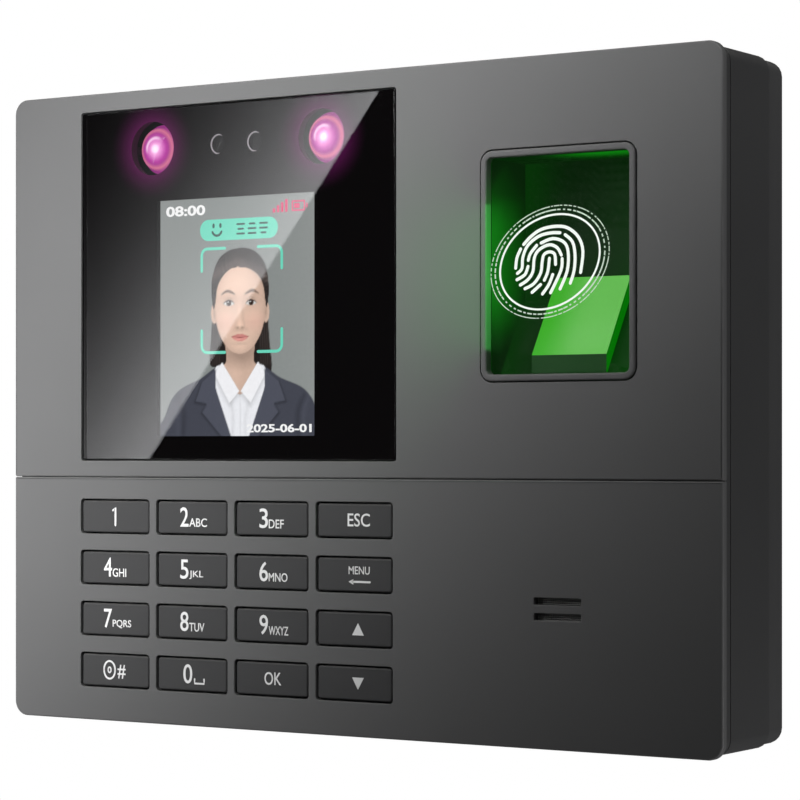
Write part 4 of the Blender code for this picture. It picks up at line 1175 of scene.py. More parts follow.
@dataclass
class Keypad:
    """Sixteen keys that each move on their own, with their legends."""

    FLANGE = 0.6
    ORDER = ("1", "2", "3", "esc", "4", "5", "6", "menu", "7", "8", "9", "up", "power", "0", "ok", "down")

    clearance: float = 0.4
    corner: float = 0.6
    roll: float = 0.38
    print_thickness: float = 0.03

    def build(self) -> None:
        """Makes every key and its legend."""
        for name, legend in self._legends().items():
            self._key(name, legend)

    def _legends(self) -> dict[str, Legend]:
        """Legend of every key."""
        space = Outline.stroke(((0.7, -0.9), (0.7, -1.9), (3.3, -1.9), (3.3, -0.9)), 0.42, 2)
        shaft = Outline.stroke(((-0.6, -1.5), (4.0, -1.5)), 0.42, 2)
        head = Outline(((-1.5, -1.5), (-0.3, -2.1), (-0.3, -0.9)))
        one = Outline.stroke(((-0.75, 1.35), (0.0, 2.0), (0.0, -2.0)), 0.46, 2)
        return {
            "1": Legend((), (one,)),
            "2": _digit("2", "ABC", 4.9),
            "3": _digit("3", "DEF", 4.0),
            "esc": Legend((Word("ESC", (1.1, 0.1), (5.7, 2.8)),)),
            "4": _digit("4", "GHI", 3.9),
            "5": _digit("5", "JKL", 3.9),
            "6": _digit("6", "MNO", 5.0),
            "menu": Legend((Word("MENU", (1.2, 0.95), (5.4, 1.7)),), (shaft, head)),
            "7": _digit("7", "PQRS", 5.3),
            "8": _digit("8", "TUV", 4.2),
            "9": _digit("9", "WXYZ", 5.2),
            "up": Legend((), (Outline(((-0.6, -1.3), (2.4, -1.3), (0.9, 1.3))),)),
            "power": Legend(
                (Word("#", (1.75, -0.2), (2.3, 3.1)),),
                (*_oval((-1.7, 0.1), (1.6, 2.0), 0.42), *_oval((-1.7, 0.1), (0.42, 0.6), 0.34)),
            ),
            "0": Legend((Word("0", (-1.2, 0.15), (2.5, 4.3)),), (space,)),
            "ok": Legend((Word("OK", (0.3, 0.1), (4.5, 2.8)),)),
            "down": Legend((), (Outline(((-0.6, 1.3), (0.9, -1.3), (2.4, 1.3))),)),
        }

    def _key(self, name: str, legend: Legend) -> None:
        """One key: its cap with a flange, and its legend."""
        room = Span.of(f"key_{name}")
        centre, front, rear = room.middle.xz, room.low.y, room.high.y
        flange = Outline.rounded(centre, room.size.xz, self.corner + self.FLANGE, 5)
        size = room.size.xz - Vector((2.0, 2.0)) * (self.FLANGE + self.clearance)
        cap = Outline.rounded(centre, size, self.corner, 5)
        shell = Shell()
        loops = []
        for step in range(5):
            angle = math.pi / 2 * step / 4
            edge = cap.grown(-self.roll * (1 - math.sin(angle)))
            loops.append(shell.loop(edge, front + self.roll * (1 - math.cos(angle)), math.sin(2 * angle)))
        loops += [shell.loop(cap, rear - 1.0), shell.loop(flange, rear - 1.0), shell.loop(flange, rear)]
        shell.wall(*loops)
        shell.cap(loops[0])
        shell.cap(loops[-1])
        body = f"key_{name}"
        mounted(shell.piece(f"key_{name}_cap", Stock.KEY.made), body, f"key_{name}")
        letters = Lettering(front, self.print_thickness)
        words = [
            letters.text(
                word.body, (centre.x + word.place[0], centre.y + word.place[1]), word.size, 0.006, word.anchor
            )
            for word in legend.words
        ]
        signs = [outline.moved(centre.x, centre.y) for outline in legend.signs]
        printed = letters.piece(f"key_{name}_legend", words, signs, Stock.LEGEND.made)
        mounted(printed, body, slot="key_plastic")


# ---------------------------------------------------------------- display


class Canvas:
    """Colours over a field of places, laid on layer by layer."""

    def __init__(self, u: np.ndarray, v: np.ndarray, ground: Colour) -> None:
        """Starts with one ground colour.

        Args:
            u: places to the right, in mm.
            v: places up, in mm.
            ground: the first colour.
        """
        self.u, self.v = u, v
        self.rgb = np.tile(np.array(ground, float), (len(u), 1))

    def lay(self, colour: Colour, share: np.ndarray) -> None:
        """Mixes a colour in by a share for each place."""
        part = np.clip(share, 0.0, 1.0)[:, None]
        self.rgb = self.rgb * (1 - part) + np.array(colour, float) * part

    def shade(self, factor: float, share: np.ndarray) -> None:
        """Darkens or lightens by a factor where the share says so."""
        self.rgb *= (1 + (factor - 1) * np.clip(share, 0.0, 1.0))[:, None]

    def oval(self, u: float, v: float, wide: float, high: float, soft: float = 0.14) -> np.ndarray:
        """Share of each place inside an oval."""
        reach = np.hypot((self.u - u) / wide, (self.v - v) / high)
        return np.clip(0.5 - (reach - 1) * min(wide, high) / soft, 0, 1)

    def shape(self, points: Sequence[Point], soft: float = 0.14, curved: bool = True) -> np.ndarray:
        """Share of each place inside a closed line, which is rounded through its points if curved."""
        line = np.array(points, float)
        if curved:
            line = self.rounded(line)
        inside = np.zeros(len(self.u), bool)
        nearest = np.full(len(self.u), 1e9)
        for (u0, v0), (u1, v1) in zip(line, np.roll(line, -1, axis=0)):
            du, dv = u1 - u0, v1 - v0
            along = np.clip(((self.u - u0) * du + (self.v - v0) * dv) / (du * du + dv * dv + 1e-12), 0, 1)
            away = np.hypot(self.u - u0 - along * du, self.v - v0 - along * dv)
            nearest = np.minimum(nearest, away)
            crosses = (v0 > self.v) != (v1 > self.v)
            with np.errstate(divide="ignore", invalid="ignore"):
                inside ^= crosses & (self.u < (self.v - v0) * du / (dv if dv else 1e-12) + u0)
        return np.clip(0.5 + np.where(inside, nearest, -nearest) / soft, 0, 1)

    def line(self, points: Sequence[Point], width: float, soft: float = 0.14) -> np.ndarray:
        """Share of each place on a stroke that follows points and thins at its ends."""
        path = self.rounded(np.array(points, float), closed=False)
        best = np.full(len(self.u), 1e9)
        last = len(path) - 1
        for i in range(last):
            (u0, v0), (u1, v1) = path[i], path[i + 1]
            du, dv = u1 - u0, v1 - v0
            along = np.clip(((self.u - u0) * du + (self.v - v0) * dv) / (du * du + dv * dv + 1e-12), 0, 1)
            away = np.hypot(self.u - u0 - along * du, self.v - v0 - along * dv)
            reach = (i + along) / last
            best = np.minimum(best, away - width / 2 * (0.35 + 0.65 * np.sin(np.pi * reach)))
        return np.clip(0.5 - best / soft, 0, 1)

    @staticmethod
    def rounded(points: np.ndarray, closed: bool = True, steps: int = 5) -> np.ndarray:
        """Points of a smooth line through the given points."""
        count = len(points)
        made = []
        for i in range(count if closed else count - 1):
            index = [i - 1, i, i + 1, i + 2]
            index = [j % count for j in index] if closed else [min(max(j, 0), count - 1) for j in index]
            before, here, after, later = (points[j] for j in index)
            for step in range(steps):
                t = step / steps
                made.append(
                    0.5 * (2 * here + (after - before) * t
                           + (2 * before - 5 * here + 4 * after - later) * t * t
                           + (3 * here - before - 3 * after + later) * t ** 3)
                )
        if not closed:
            made.append(points[-1])
        return np.array(made)


@dataclass(frozen=True)
class Portrait:
    """A made-up office worker for the display, on plain textbook proportions."""

    middle: float = 1.35
    skin: Colour = (0.80, 0.56, 0.44)
    hair: Colour = (0.022, 0.017, 0.016)
    cloth: Colour = (0.060, 0.064, 0.085)
    shirt: Colour = (0.90, 0.91, 0.95)

    def paint(self, canvas: Canvas) -> None:
        """Lays the whole figure on the canvas, from back to front."""
        view = Canvas(canvas.u - self.middle, canvas.v, (0.0, 0.0, 0.0))
        view.rgb = canvas.rgb
        self._body(view)
        self._head(view)
        self._eyes(view)
        self._nose_and_mouth(view)
        self._hair(view)
        canvas.rgb = view.rgb

    @staticmethod
    def _both(points: Sequence[Point]) -> tuple[list[Point], list[Point]]:
        """A shape and its mirror image."""
        return list(points), [(-u, v) for u, v in points]

    def _body(self, view: Canvas) -> None:
        """Hair behind the head, neck, shirt and jacket."""
        view.lay(self.hair, view.shape((
            (-7.5, 1), (-7.7, 7), (-5.9, 12.6), (0, 14.9), (5.9, 12.6), (7.7, 7), (7.5, 1), (7.9, -5.0),
            (8.6, -11.6), (6.2, -12.4), (-4.6, -11.2), (-8.2, -10.4), (-7.9, -4.6))))
        for side in (-1, 1):
            for lock in range(5):
                lean = side * (5.2 + 0.62 * lock)
                strand = ((lean, -1.0), (lean + side * 0.3, -5.4), (lean + side * 0.5, -10.6))
                view.lay((0.10, 0.078, 0.070), view.line(strand, 0.16, 0.3) * 0.6)
        view.lay(self.cloth, view.shape((
            (-21.4, -29), (-20.6, -21.5), (-17.4, -16.4), (-11, -13.6), (-5.4, -11.0), (0, -15),
            (5.4, -11.0), (11, -13.6), (17.4, -16.2), (20.6, -21), (21.4, -29))))
        for side in (-1, 1):
            fold = [(side * 17.2, -17.5), (side * 15.6, -21.5), (side * 15.9, -28)]
            view.shade(0.55, view.line(fold, 0.9, 1.6) * 0.8)
            view.shade(1.5, view.line([(u + side * 1.4, v) for u, v in fold], 0.8, 1.8) * 0.5)
        view.lay(self.shirt, view.shape((
            (-5.2, -10.6), (0, -13.2), (5.2, -10.6), (6.9, -13.6), (3.3, -28), (-3.3, -28), (-6.9, -13.6))))
        view.shade(0.80, view.line(((-2.6, -18), (-1.9, -22), (-2.2, -28)), 0.5, 1.1))
        view.shade(0.84, view.line(((2.4, -18), (1.5, -23), (1.6, -28)), 0.5, 1.1))
        neck = tuple(value * 0.84 for value in self.skin)
        view.lay(neck, view.shape(((-3.7, -3), (3.7, -3), (3.7, -9.6), (5.0, -11.6), (0, -17.2),
                                   (-5.0, -11.6), (-3.7, -9.6))))
        view.shade(0.62, view.oval(0.5, -7.6, 4.6, 3.0, 3.2))
        view.shade(1.12, view.oval(-1.4, -12.6, 1.3, 2.4, 2.4))
        view.shade(0.8, view.line(((0, -16.8), (0.1, -22), (0, -28)), 0.24, 0.3))
        for wing in self._both(((-4.9, -10.0), (-0.2, -16.4), (-2.9, -19.0), (-6.9, -12.6))):
            view.shade(0.66, view.shape([(u, v - 0.7) for u, v in wing], 1.5, False))
            view.lay((0.96, 0.96, 0.99), view.shape(wing, 0.16, False))
        for lapel in self._both((
                (-6.6, -11.6), (-10.4, -14.3), (-12.2, -18.6), (-9.3, -19.2), (-10.4, -21.0),
                (-2.4, -29), (-1.4, -29), (-6.8, -15.4))):
            view.shade(0.5, view.shape([(u * 1.03, v - 0.3) for u, v in lapel], 0.9, False))
            view.lay(tuple(value * 1.35 for value in self.cloth), view.shape(lapel, 0.16, False))
            view.shade(0.6, view.line(lapel[2:5], 0.22, 0.25))
        grain = np.sin(view.u * 9.1 + view.v * 7.3) * np.sin(view.u * 6.7 - view.v * 8.9)
        view.shade(1.08, grain * (view.rgb[:, 0] < 0.2) * (view.v < -11))

    def _head(self, view: Canvas) -> None:
        """Ears and the shaded face."""
        for side in (-1, 1):
            view.lay(tuple(value * 0.86 for value in self.skin), view.oval(side * 7.0, 0.9, 0.95, 2.3))
            view.shade(0.7, view.oval(side * 6.9, 1.0, 0.4, 1.3, 0.7))
        face = view.shape((
            (0, 13.2), (-4.4, 12.2), (-6.6, 8.8), (-6.9, 4.0), (-6.6, -0.6), (-5.5, -4.0), (-3.5, -6.7),
            (-1.3, -8.0), (1.3, -8.0), (3.5, -6.7), (5.5, -4.0), (6.6, -0.6), (6.9, 4.0), (6.6, 8.8),
            (4.4, 12.2)))
        view.lay(self.skin, face)
        rim = np.clip(np.hypot(view.u / 7.4, (view.v - 2.4) / 11.4) - 0.62, 0, 0.5) * 2
        view.shade(0.60, face * rim * rim)
        view.shade(0.80, face * np.clip(view.u / 9 - 0.1, 0, 1))
        view.shade(1.14, face * view.oval(-1.0, 7.6, 3.6, 2.4, 4.0))
        for side in (-1, 1):
            view.lay((0.86, 0.46, 0.38), face * view.oval(side * 4.0, -1.2, 2.2, 1.6, 2.8) * 0.30)
            view.shade(1.10, face * view.oval(side * 3.7, 0.2, 1.5, 0.8, 1.8))
            view.shade(0.84, face * view.oval(side * 3.0, 3.9, 2.1, 1.2, 1.8))
        view.shade(1.10, face * view.oval(0, -6.4, 1.3, 0.8, 1.5))

    def _eyes(self, view: Canvas) -> None:
        """Eyes on the half height of the head, one eye's width apart, with level brows."""
        for side in (-1, 1):
            eye = [(side * u, v) for u, v in (
                (1.55, 2.85), (2.3, 3.5), (3.1, 3.62), (3.9, 3.4), (4.5, 2.95), (3.8, 2.55), (3.0, 2.42),
                (2.2, 2.55))]
            white = view.shape(eye, 0.16)
            view.lay((0.80, 0.78, 0.76), white)
            view.lay((0.065, 0.035, 0.022), white * view.oval(side * 3.02, 3.05, 0.68, 0.68))
            view.lay((0.010, 0.008, 0.008), white * view.oval(side * 3.02, 3.05, 0.32, 0.32))
            view.shade(0.6, white * np.clip((view.v - 3.1) * 2.2, 0, 1))
            view.lay((0.95, 0.95, 0.95), view.oval(side * 3.02 - 0.22, 3.25, 0.15, 0.15, 0.1))
            view.lay((0.05, 0.03, 0.03), view.line([eye[0], eye[1], eye[2], eye[3], eye[4]], 0.30, 0.16))
            view.shade(0.72, view.line([eye[4], eye[6], eye[0]], 0.12, 0.2))
            crease = [(side * 1.7, 3.9), (side * 3.1, 4.25), (side * 4.6, 3.6)]
            view.shade(0.74, view.line(crease, 0.14, 0.26))
            brow = [(side * u, v) for u, v in ((1.45, 4.95), (2.6, 5.5), (3.7, 5.65), (5.0, 5.0))]
            view.lay((0.07, 0.045, 0.038), view.line(brow, 0.62, 0.34) * 0.82)

    def _nose_and_mouth(self, view: Canvas) -> None:
        """Nose to half way down from the eyes, and a closed, level mouth."""
        view.shade(1.12, view.oval(-0.15, 0.6, 0.42, 2.6, 0.9))
        view.shade(0.84, view.line(((0.75, 3.4), (0.62, 1.4), (1.05, -1.3)), 0.4, 0.8))
        view.shade(1.12, view.oval(-0.1, -1.6, 0.62, 0.55, 0.8))
        view.shade(0.76, view.oval(0.1, -2.75, 1.45, 0.42, 0.7))
        for side in (-1, 1):
            view.shade(0.45, view.oval(side * 0.62, -2.42, 0.26, 0.14, 0.2))
            wing = ((side * 1.1, -1.4), (side * 1.3, -2.1), (side * 0.9, -2.55))
            view.shade(0.80, view.line(wing, 0.2, 0.35))
        view.lay((0.62, 0.20, 0.19), view.shape((
            (-2.25, -4.45), (-1.2, -4.0), (-0.4, -3.82), (0, -3.95), (0.4, -3.82), (1.2, -4.0),
            (2.25, -4.45), (0, -4.62))) * 0.85)
        view.lay((0.72, 0.27, 0.25), view.shape((
            (-2.15, -4.48), (0, -4.6), (2.15, -4.48), (1.3, -5.2), (0, -5.45), (-1.3, -5.2))) * 0.85)
        view.lay((0.28, 0.07, 0.07), view.line(((-2.3, -4.42), (-1.0, -4.52), (0, -4.6), (1.0, -4.52),
                                                (2.3, -4.42)), 0.20, 0.14))
        view.shade(1.22, view.oval(-0.35, -4.95, 0.7, 0.16, 0.3))
        view.shade(0.80, view.oval(0, -5.95, 1.3, 0.26, 0.6))

    def _hair(self, view: Canvas) -> None:
        """Parted hair drawn back over the ears."""
        left = ((-0.9, 14.9), (-5.4, 13.3), (-7.7, 8.4), (-7.6, 3.6), (-7.2, 1.8), (-6.7, 3.4),
                (-6.2, 6.6), (-4.7, 9.0), (-2.6, 10.6), (-0.7, 11.2))
        right = ((-0.9, 14.9), (3.6, 14.5), (6.8, 11.4), (7.8, 6.4), (7.6, 3.6), (7.2, 1.8), (6.8, 3.6),
                 (6.3, 6.6), (4.9, 9.0), (2.2, 10.6), (-0.7, 11.2))
        strands = 0.5 + 0.5 * np.sin(np.arctan2(view.v - 4.0, view.u + 0.8) * 46 + view.v * 1.7)
        shine = np.exp(-(((view.v - 12.0 + np.abs(view.u + 0.8) * 0.42) / 1.3) ** 2))
        for half in (left, right):
            lock = view.shape(half)
            view.lay(self.hair, lock)
            view.lay((0.21, 0.165, 0.150), lock * shine * (0.25 + 0.6 * strands))
            view.lay((0.05, 0.04, 0.038), lock * strands * 0.4)
        view.shade(0.4, view.line(((-0.8, 14.7), (-0.75, 13.4), (-0.7, 12.3)), 0.2, 0.3))


@dataclass
class Display:
    """Clear window, its black print, and the lit picture behind it."""

    view_size: Point = (42.9, 52.6)
    view_middle: Point = (-28.75, 19.6)
    picture_size: Point = (45.4, 55.6)
    cells: tuple[int, int] = (200, 240)
    lamp_opening: float = 6.0
    camera_opening: float = 2.25
    glass_gap: float = 0.08
    print_thickness: float = 0.08
    shift: float = 0.85
    ground: Colour = (0.262, 0.285, 0.278)
    ground_edge: Colour = (0.300, 0.318, 0.312)

    def build(self) -> None:
        """Makes the window, its print, the picture and the signs on it."""
        self._glass()
        self._print()
        self._picture()
        self._signs()

    def _glass(self) -> None:
        """Clear sheet with polished edges."""
        room = Span.of("display_window")
        rear = room.high.y - self.print_thickness - self.glass_gap
        outer = Outline.rounded(room.middle.xz, room.size.xz, 0.4, 4)
        shell = Shell().plate(outer, room.low.y, rear, roll=0.18)
        obj = shell.piece("display_window_glass", Stock.GLASS.made)
        mounted(obj, TERMINAL, "display_window", slot="window_glass")

    def _print(self) -> None:
        """Black print behind the sheet, open before the display, the lamps and the cameras."""
        room = Span.of("display_window")
        holes = [Outline.rounded(self.view_middle, self.view_size, 0.2, 2)]
        for side, radius in (("lamp", self.lamp_opening), ("camera", self.camera_opening)):
            for hand in ("left", "right"):
                node = f"infrared_lamp_{hand}" if side == "lamp" else f"face_camera_{hand}"
                middle = Span.of(node).middle
                holes.append(Outline.circle((middle.x, middle.z), radius, 56))
        outer = Outline.rounded(room.middle.xz, room.size.xz, 0.3, 2)
        rear = room.high.y
        shell = Shell().plate(outer, rear - self.print_thickness, rear, holes)
        mounted(shell.piece("display_window_print", Stock.INK.made), TERMINAL, slot="window_glass")

    def _picture(self) -> None:
        """Lit picture on the front of the display."""
        panel = Span.of("lcd_panel")
        columns, rows = self.cells
        u = np.linspace(-self.picture_size[0] / 2, self.picture_size[0] / 2, columns + 1)
        v = np.linspace(-self.picture_size[1] / 2, self.picture_size[1] / 2, rows + 1)
        grid_u, grid_v = (part.ravel() for part in np.meshgrid(u, v))
        canvas = Canvas(grid_u, grid_v, self.ground)
        canvas.lay(self.ground_edge, np.clip(np.abs(grid_u) / 22, 0, 1) ** 2)
        Portrait().paint(canvas)
        front, rear = panel.low.y, panel.low.y + 0.4
        middle = (self.view_middle[0] - self.shift, self.view_middle[1])
        verts = [(middle[0] + a, front, middle[1] + b) for a, b in zip(grid_u, grid_v)]
        wide = columns + 1
        faces = [
            (row * wide + col, row * wide + col + 1, (row + 1) * wide + col + 1, (row + 1) * wide + col)
            for row in range(rows)
            for col in range(columns)
        ]
        rim = [*range(wide), *(row * wide + columns for row in range(1, rows + 1))]
        rim += [*(rows * wide + col for col in range(columns - 1, -1, -1))]
        rim += [row * wide for row in range(rows - 1, 0, -1)]
        start = len(verts)
        verts += [(verts[i][0], rear, verts[i][2]) for i in rim]
        for i in range(len(rim)):
            j = (i + 1) % len(rim)
            faces.append((rim[j], rim[i], start + i, start + j))
        faces.append(tuple(start + i for i in reversed(range(len(rim)))))
        mesh = bpy.data.meshes.new("lcd_picture")
        mesh.from_pydata([Vector(vert) * MM for vert in verts], [], faces)
        light = mesh.color_attributes.new("light", "FLOAT_COLOR", "POINT")
        colours = np.zeros((len(verts), 4))
        colours[: len(grid_u), :3] = canvas.rgb
        colours[:, 3] = 1.0
        light.data.foreach_set("color", colours.ravel())
        obj = dressed("lcd_picture", mesh, Stock.PICTURE.made)
        mounted(obj, TERMINAL, "lcd_panel")

    def _signs(self) -> None:
        """Clock, date, greeting, corner marks and status signs on the picture."""
        depth = Span.of("lcd_panel").low.y
        left, up = self.view_middle[0] - self.shift, self.view_middle[1]
        flat = Lettering(depth - 0.01, 0.04)
        raised = Lettering(depth - 0.06, 0.04)

        def at(u: float, v: float) -> Point:
            """Place on the picture."""
            return (left + u, up + v)

        def moved(*outlines: Outline) -> list[Outline]:
            """Outlines moved onto the picture."""
            return [outline.moved(left, up) for outline in outlines]

        words = [
            raised.text("08:00", at(-13.6, 23.9), (10.9, 2.3), 0.03),
            raised.text("2025-06-01", at(11.9, -24.6), (17.4, 1.85), 0.03),
        ]
        clock = raised.piece("screen_clock", words, (), Stock.SCREEN_WHITE.made)
        mounted(clock, TERMINAL, slot="display_glass")
        corners = []
        for right in (-1, 1):
            for high in (-1, 1):
                u, v = 1.75 + right * 10.9, 3.7 + high * 11.5
                bend = [(u - right * 1.5 * (1 - math.sin(a)), v - high * 1.5 * (1 - math.cos(a)))
                        for a in [math.pi / 2 * i / 5 for i in range(6)]]
                path = [(u - right * 6.4, v), *bend, (u, v - high * 4.9)]
                corners.append(Outline.stroke(path, 0.66, 3))
        pill = Outline.rounded((1.0, 19.3), (21.2, 4.7), 2.3, 8)
        mint = flat.piece("screen_marks", (), moved(*corners, pill), Stock.SCREEN_MINT.made)
        mounted(mint, TERMINAL, slot="display_glass")
        smile = Outline.stroke([(-4.9 + 1.35 * math.cos(a), 19.4 + 1.35 * math.sin(a))
                                for a in np.linspace(-2.75, -0.39, 9)], 0.52, 3)
        eyes = [Outline.stroke(((-4.9 + s, 20.5), (-4.9 + s, 20.0)), 0.6, 3) for s in (-0.95, 0.95)]
        blocks = []
        for column, lines in ((1.6, (1.0, 0.7, 1.0)), (4.7, (0.7, 1.0, 1.0)), (7.8, (1.0, 1.0, 0.6))):
            blocks += [
                Outline.stroke([(column + side * reach, 19.3 + 1.05 * row) for side in (-1, 1)], 0.42, 2)
                for row, reach in zip((1, 0, -1), lines)
            ]
        face = raised.piece("screen_greeting", (), moved(smile, *eyes, *blocks), Stock.SCREEN_DARK.made)
        mounted(face, TERMINAL, slot="display_glass")
        bars = [
            Outline.rounded((10.6 + 1.1 * i, 22.9 + 0.32 * i), (0.7, 0.9 + 0.64 * i), 0.1, 2)
            for i in range(4)
        ]
        cell = [Outline.stroke(path, 0.36, 2) for path in (
            ((15.6, 24.7), (18.6, 24.7)), ((15.6, 22.7), (18.6, 22.7)),
            ((15.5, 24.7), (15.5, 22.7)), ((18.7, 24.7), (18.7, 22.7)), ((19.35, 24.1), (19.35, 23.3)))]
        charge = Outline.rounded((16.7, 23.7), (1.5, 1.1), 0.1, 2)
        rose = raised.piece("screen_status", (), moved(*bars, *cell, charge), Stock.SCREEN_ROSE.made)
        mounted(rose, TERMINAL, slot="display_glass")


@dataclass
class FaceSensors:
    """Infrared lamps and face cameras behind the window."""

    dome: float = 4.9
    steps: int = 12
    core: Colour = (1.35, 1.05, 1.28)
    pink: Colour = (1.0, 0.36, 0.80)
    magenta: Colour = (0.60, 0.055, 0.44)
    rim: Colour = (0.80, 0.22, 0.34)

    def build(self) -> None:
        """Makes both lamps and both cameras."""
        for hand in ("left", "right"):
            self._lamp(hand)
            self._camera(hand)

    def _lamp(self, hand: str) -> None:
        """Lamp: a lit dome in a cup that catches its light."""
        node = f"infrared_lamp_{hand}"
        room = Span.of(node)
        centre = (room.middle.x, room.middle.z)
        base = room.size.x / 2
        shell = Shell().turned(centre, (
            (room.high.y, base), (room.high.y - 1.2, base), (room.high.y - 1.4, base - 0.2),
            (room.high.y - 1.4, self.dome)), 64)
        cup = shell.piece(f"{node}_cup", Stock.CUP.made)

        def spill(place: Vector, normal: Vector) -> Colour:
            """Light that the dome throws on its cup."""
            reach = math.hypot(place.x - centre[0], place.z - centre[1])
            return scaled(self.magenta, 0.42 * (1 - eased(reach, self.dome, base + 2.4)) + 0.08)

        mounted(painted(cup, spill, 1.0), TERMINAL, node, slot="black_plastic")
        shell = Shell()
        foot, top = room.high.y - 1.4, room.low.y
        loops = [shell.loop(Outline.circle(centre, self.dome, 72), foot - 0.02)]
        for step in range(self.steps):
            angle = math.pi / 2 * step / self.steps
            depth = (foot - 1.2) + (top - foot + 1.2) * math.sin(angle)
            loops.append(shell.loop(Outline.circle(centre, self.dome * math.cos(angle), 72), depth))
        shell.wall(*loops)
        shell.cap(loops[0])
        shell.cap(loops[-1])
        lens = shell.piece(f"{node}_lens", Stock.LAMP.made)

        def glow(place: Vector, normal: Vector) -> Colour:
            """Light of the dome: white hot in the middle, magenta round it, warm at the rim."""
            u, v = (place.x - centre[0]) / self.dome, (place.z - centre[1]) / self.dome
            reach = math.hypot(u, v)
            colour = Vector(scaled(self.magenta, 0.55 + 0.45 * eased(reach, 0.95, 0.4)))
            colour = colour.lerp(Vector(self.rim), 0.85 * bell(reach, 0.86, 0.09))
            colour = colour.lerp(Vector(self.pink), eased(reach, 0.62, 0.22))
            # painted highlight: a white arc across the dome, towards its upper left
            arc = bell(reach, 0.52, 0.05) * eased(math.cos(math.atan2(v, u) - 2.2), 0.1, 0.8)
            colour = colour.lerp(Vector(self.core), max(eased(reach, 0.30, 0.06), 0.75 * arc))
            return tuple(colour)

        mounted(painted(lens, glow, 0.8), TERMINAL, slot="led_lens")

    def _camera(self, hand: str) -> None:
        """Face camera: barrel, stop ring whose glow is a painted highlight, and a small lens."""
        node = f"face_camera_{hand}"
        room = Span.of(node)
        centre, front = (room.middle.x, room.middle.z), room.low.y
        base = room.size.x / 2
        barrel = Shell().turned(centre, (
            (room.high.y, base), (front + 2.2, base), (front + 2.2, 3.0), (front + 0.15, 3.0),
            (front, 2.85), (front, 2.45), (front + 0.5, 2.1), (front + 0.9, 1.2)), 56)
        mounted(barrel.piece(f"{node}_barrel", Stock.LENS.made), TERMINAL, node)
        ring = Shell()
        loops = [
            ring.loop(
                Outline.circle(centre, 2.12 + 0.16 * math.cos(a), 56), front + 0.34 - 0.16 * math.sin(a)
            )
            for a in [math.tau * i / 10 for i in range(10)]
        ]
        ring.wall(*loops, loops[0])
        # the stop ring glows evenly: a painted highlight
        mounted(ring.piece(f"{node}_ring", Stock.RIM.made), TERMINAL, slot="camera_black")
        lens = Shell()
        loops = [lens.loop(Outline.circle(centre, 1.15 * math.cos(a), 40), front + 0.86 - 0.42 * math.sin(a))
                 for a in [math.pi / 2 * i / 8 for i in range(8)]]
        lens.wall(*loops)
        lens.cap(loops[0])
        lens.cap(loops[-1])
        mounted(lens.piece(f"{node}_lens", Stock.LENS.made), TERMINAL, slot="camera_black")


# ---------------------------------------------------------------- finger reader


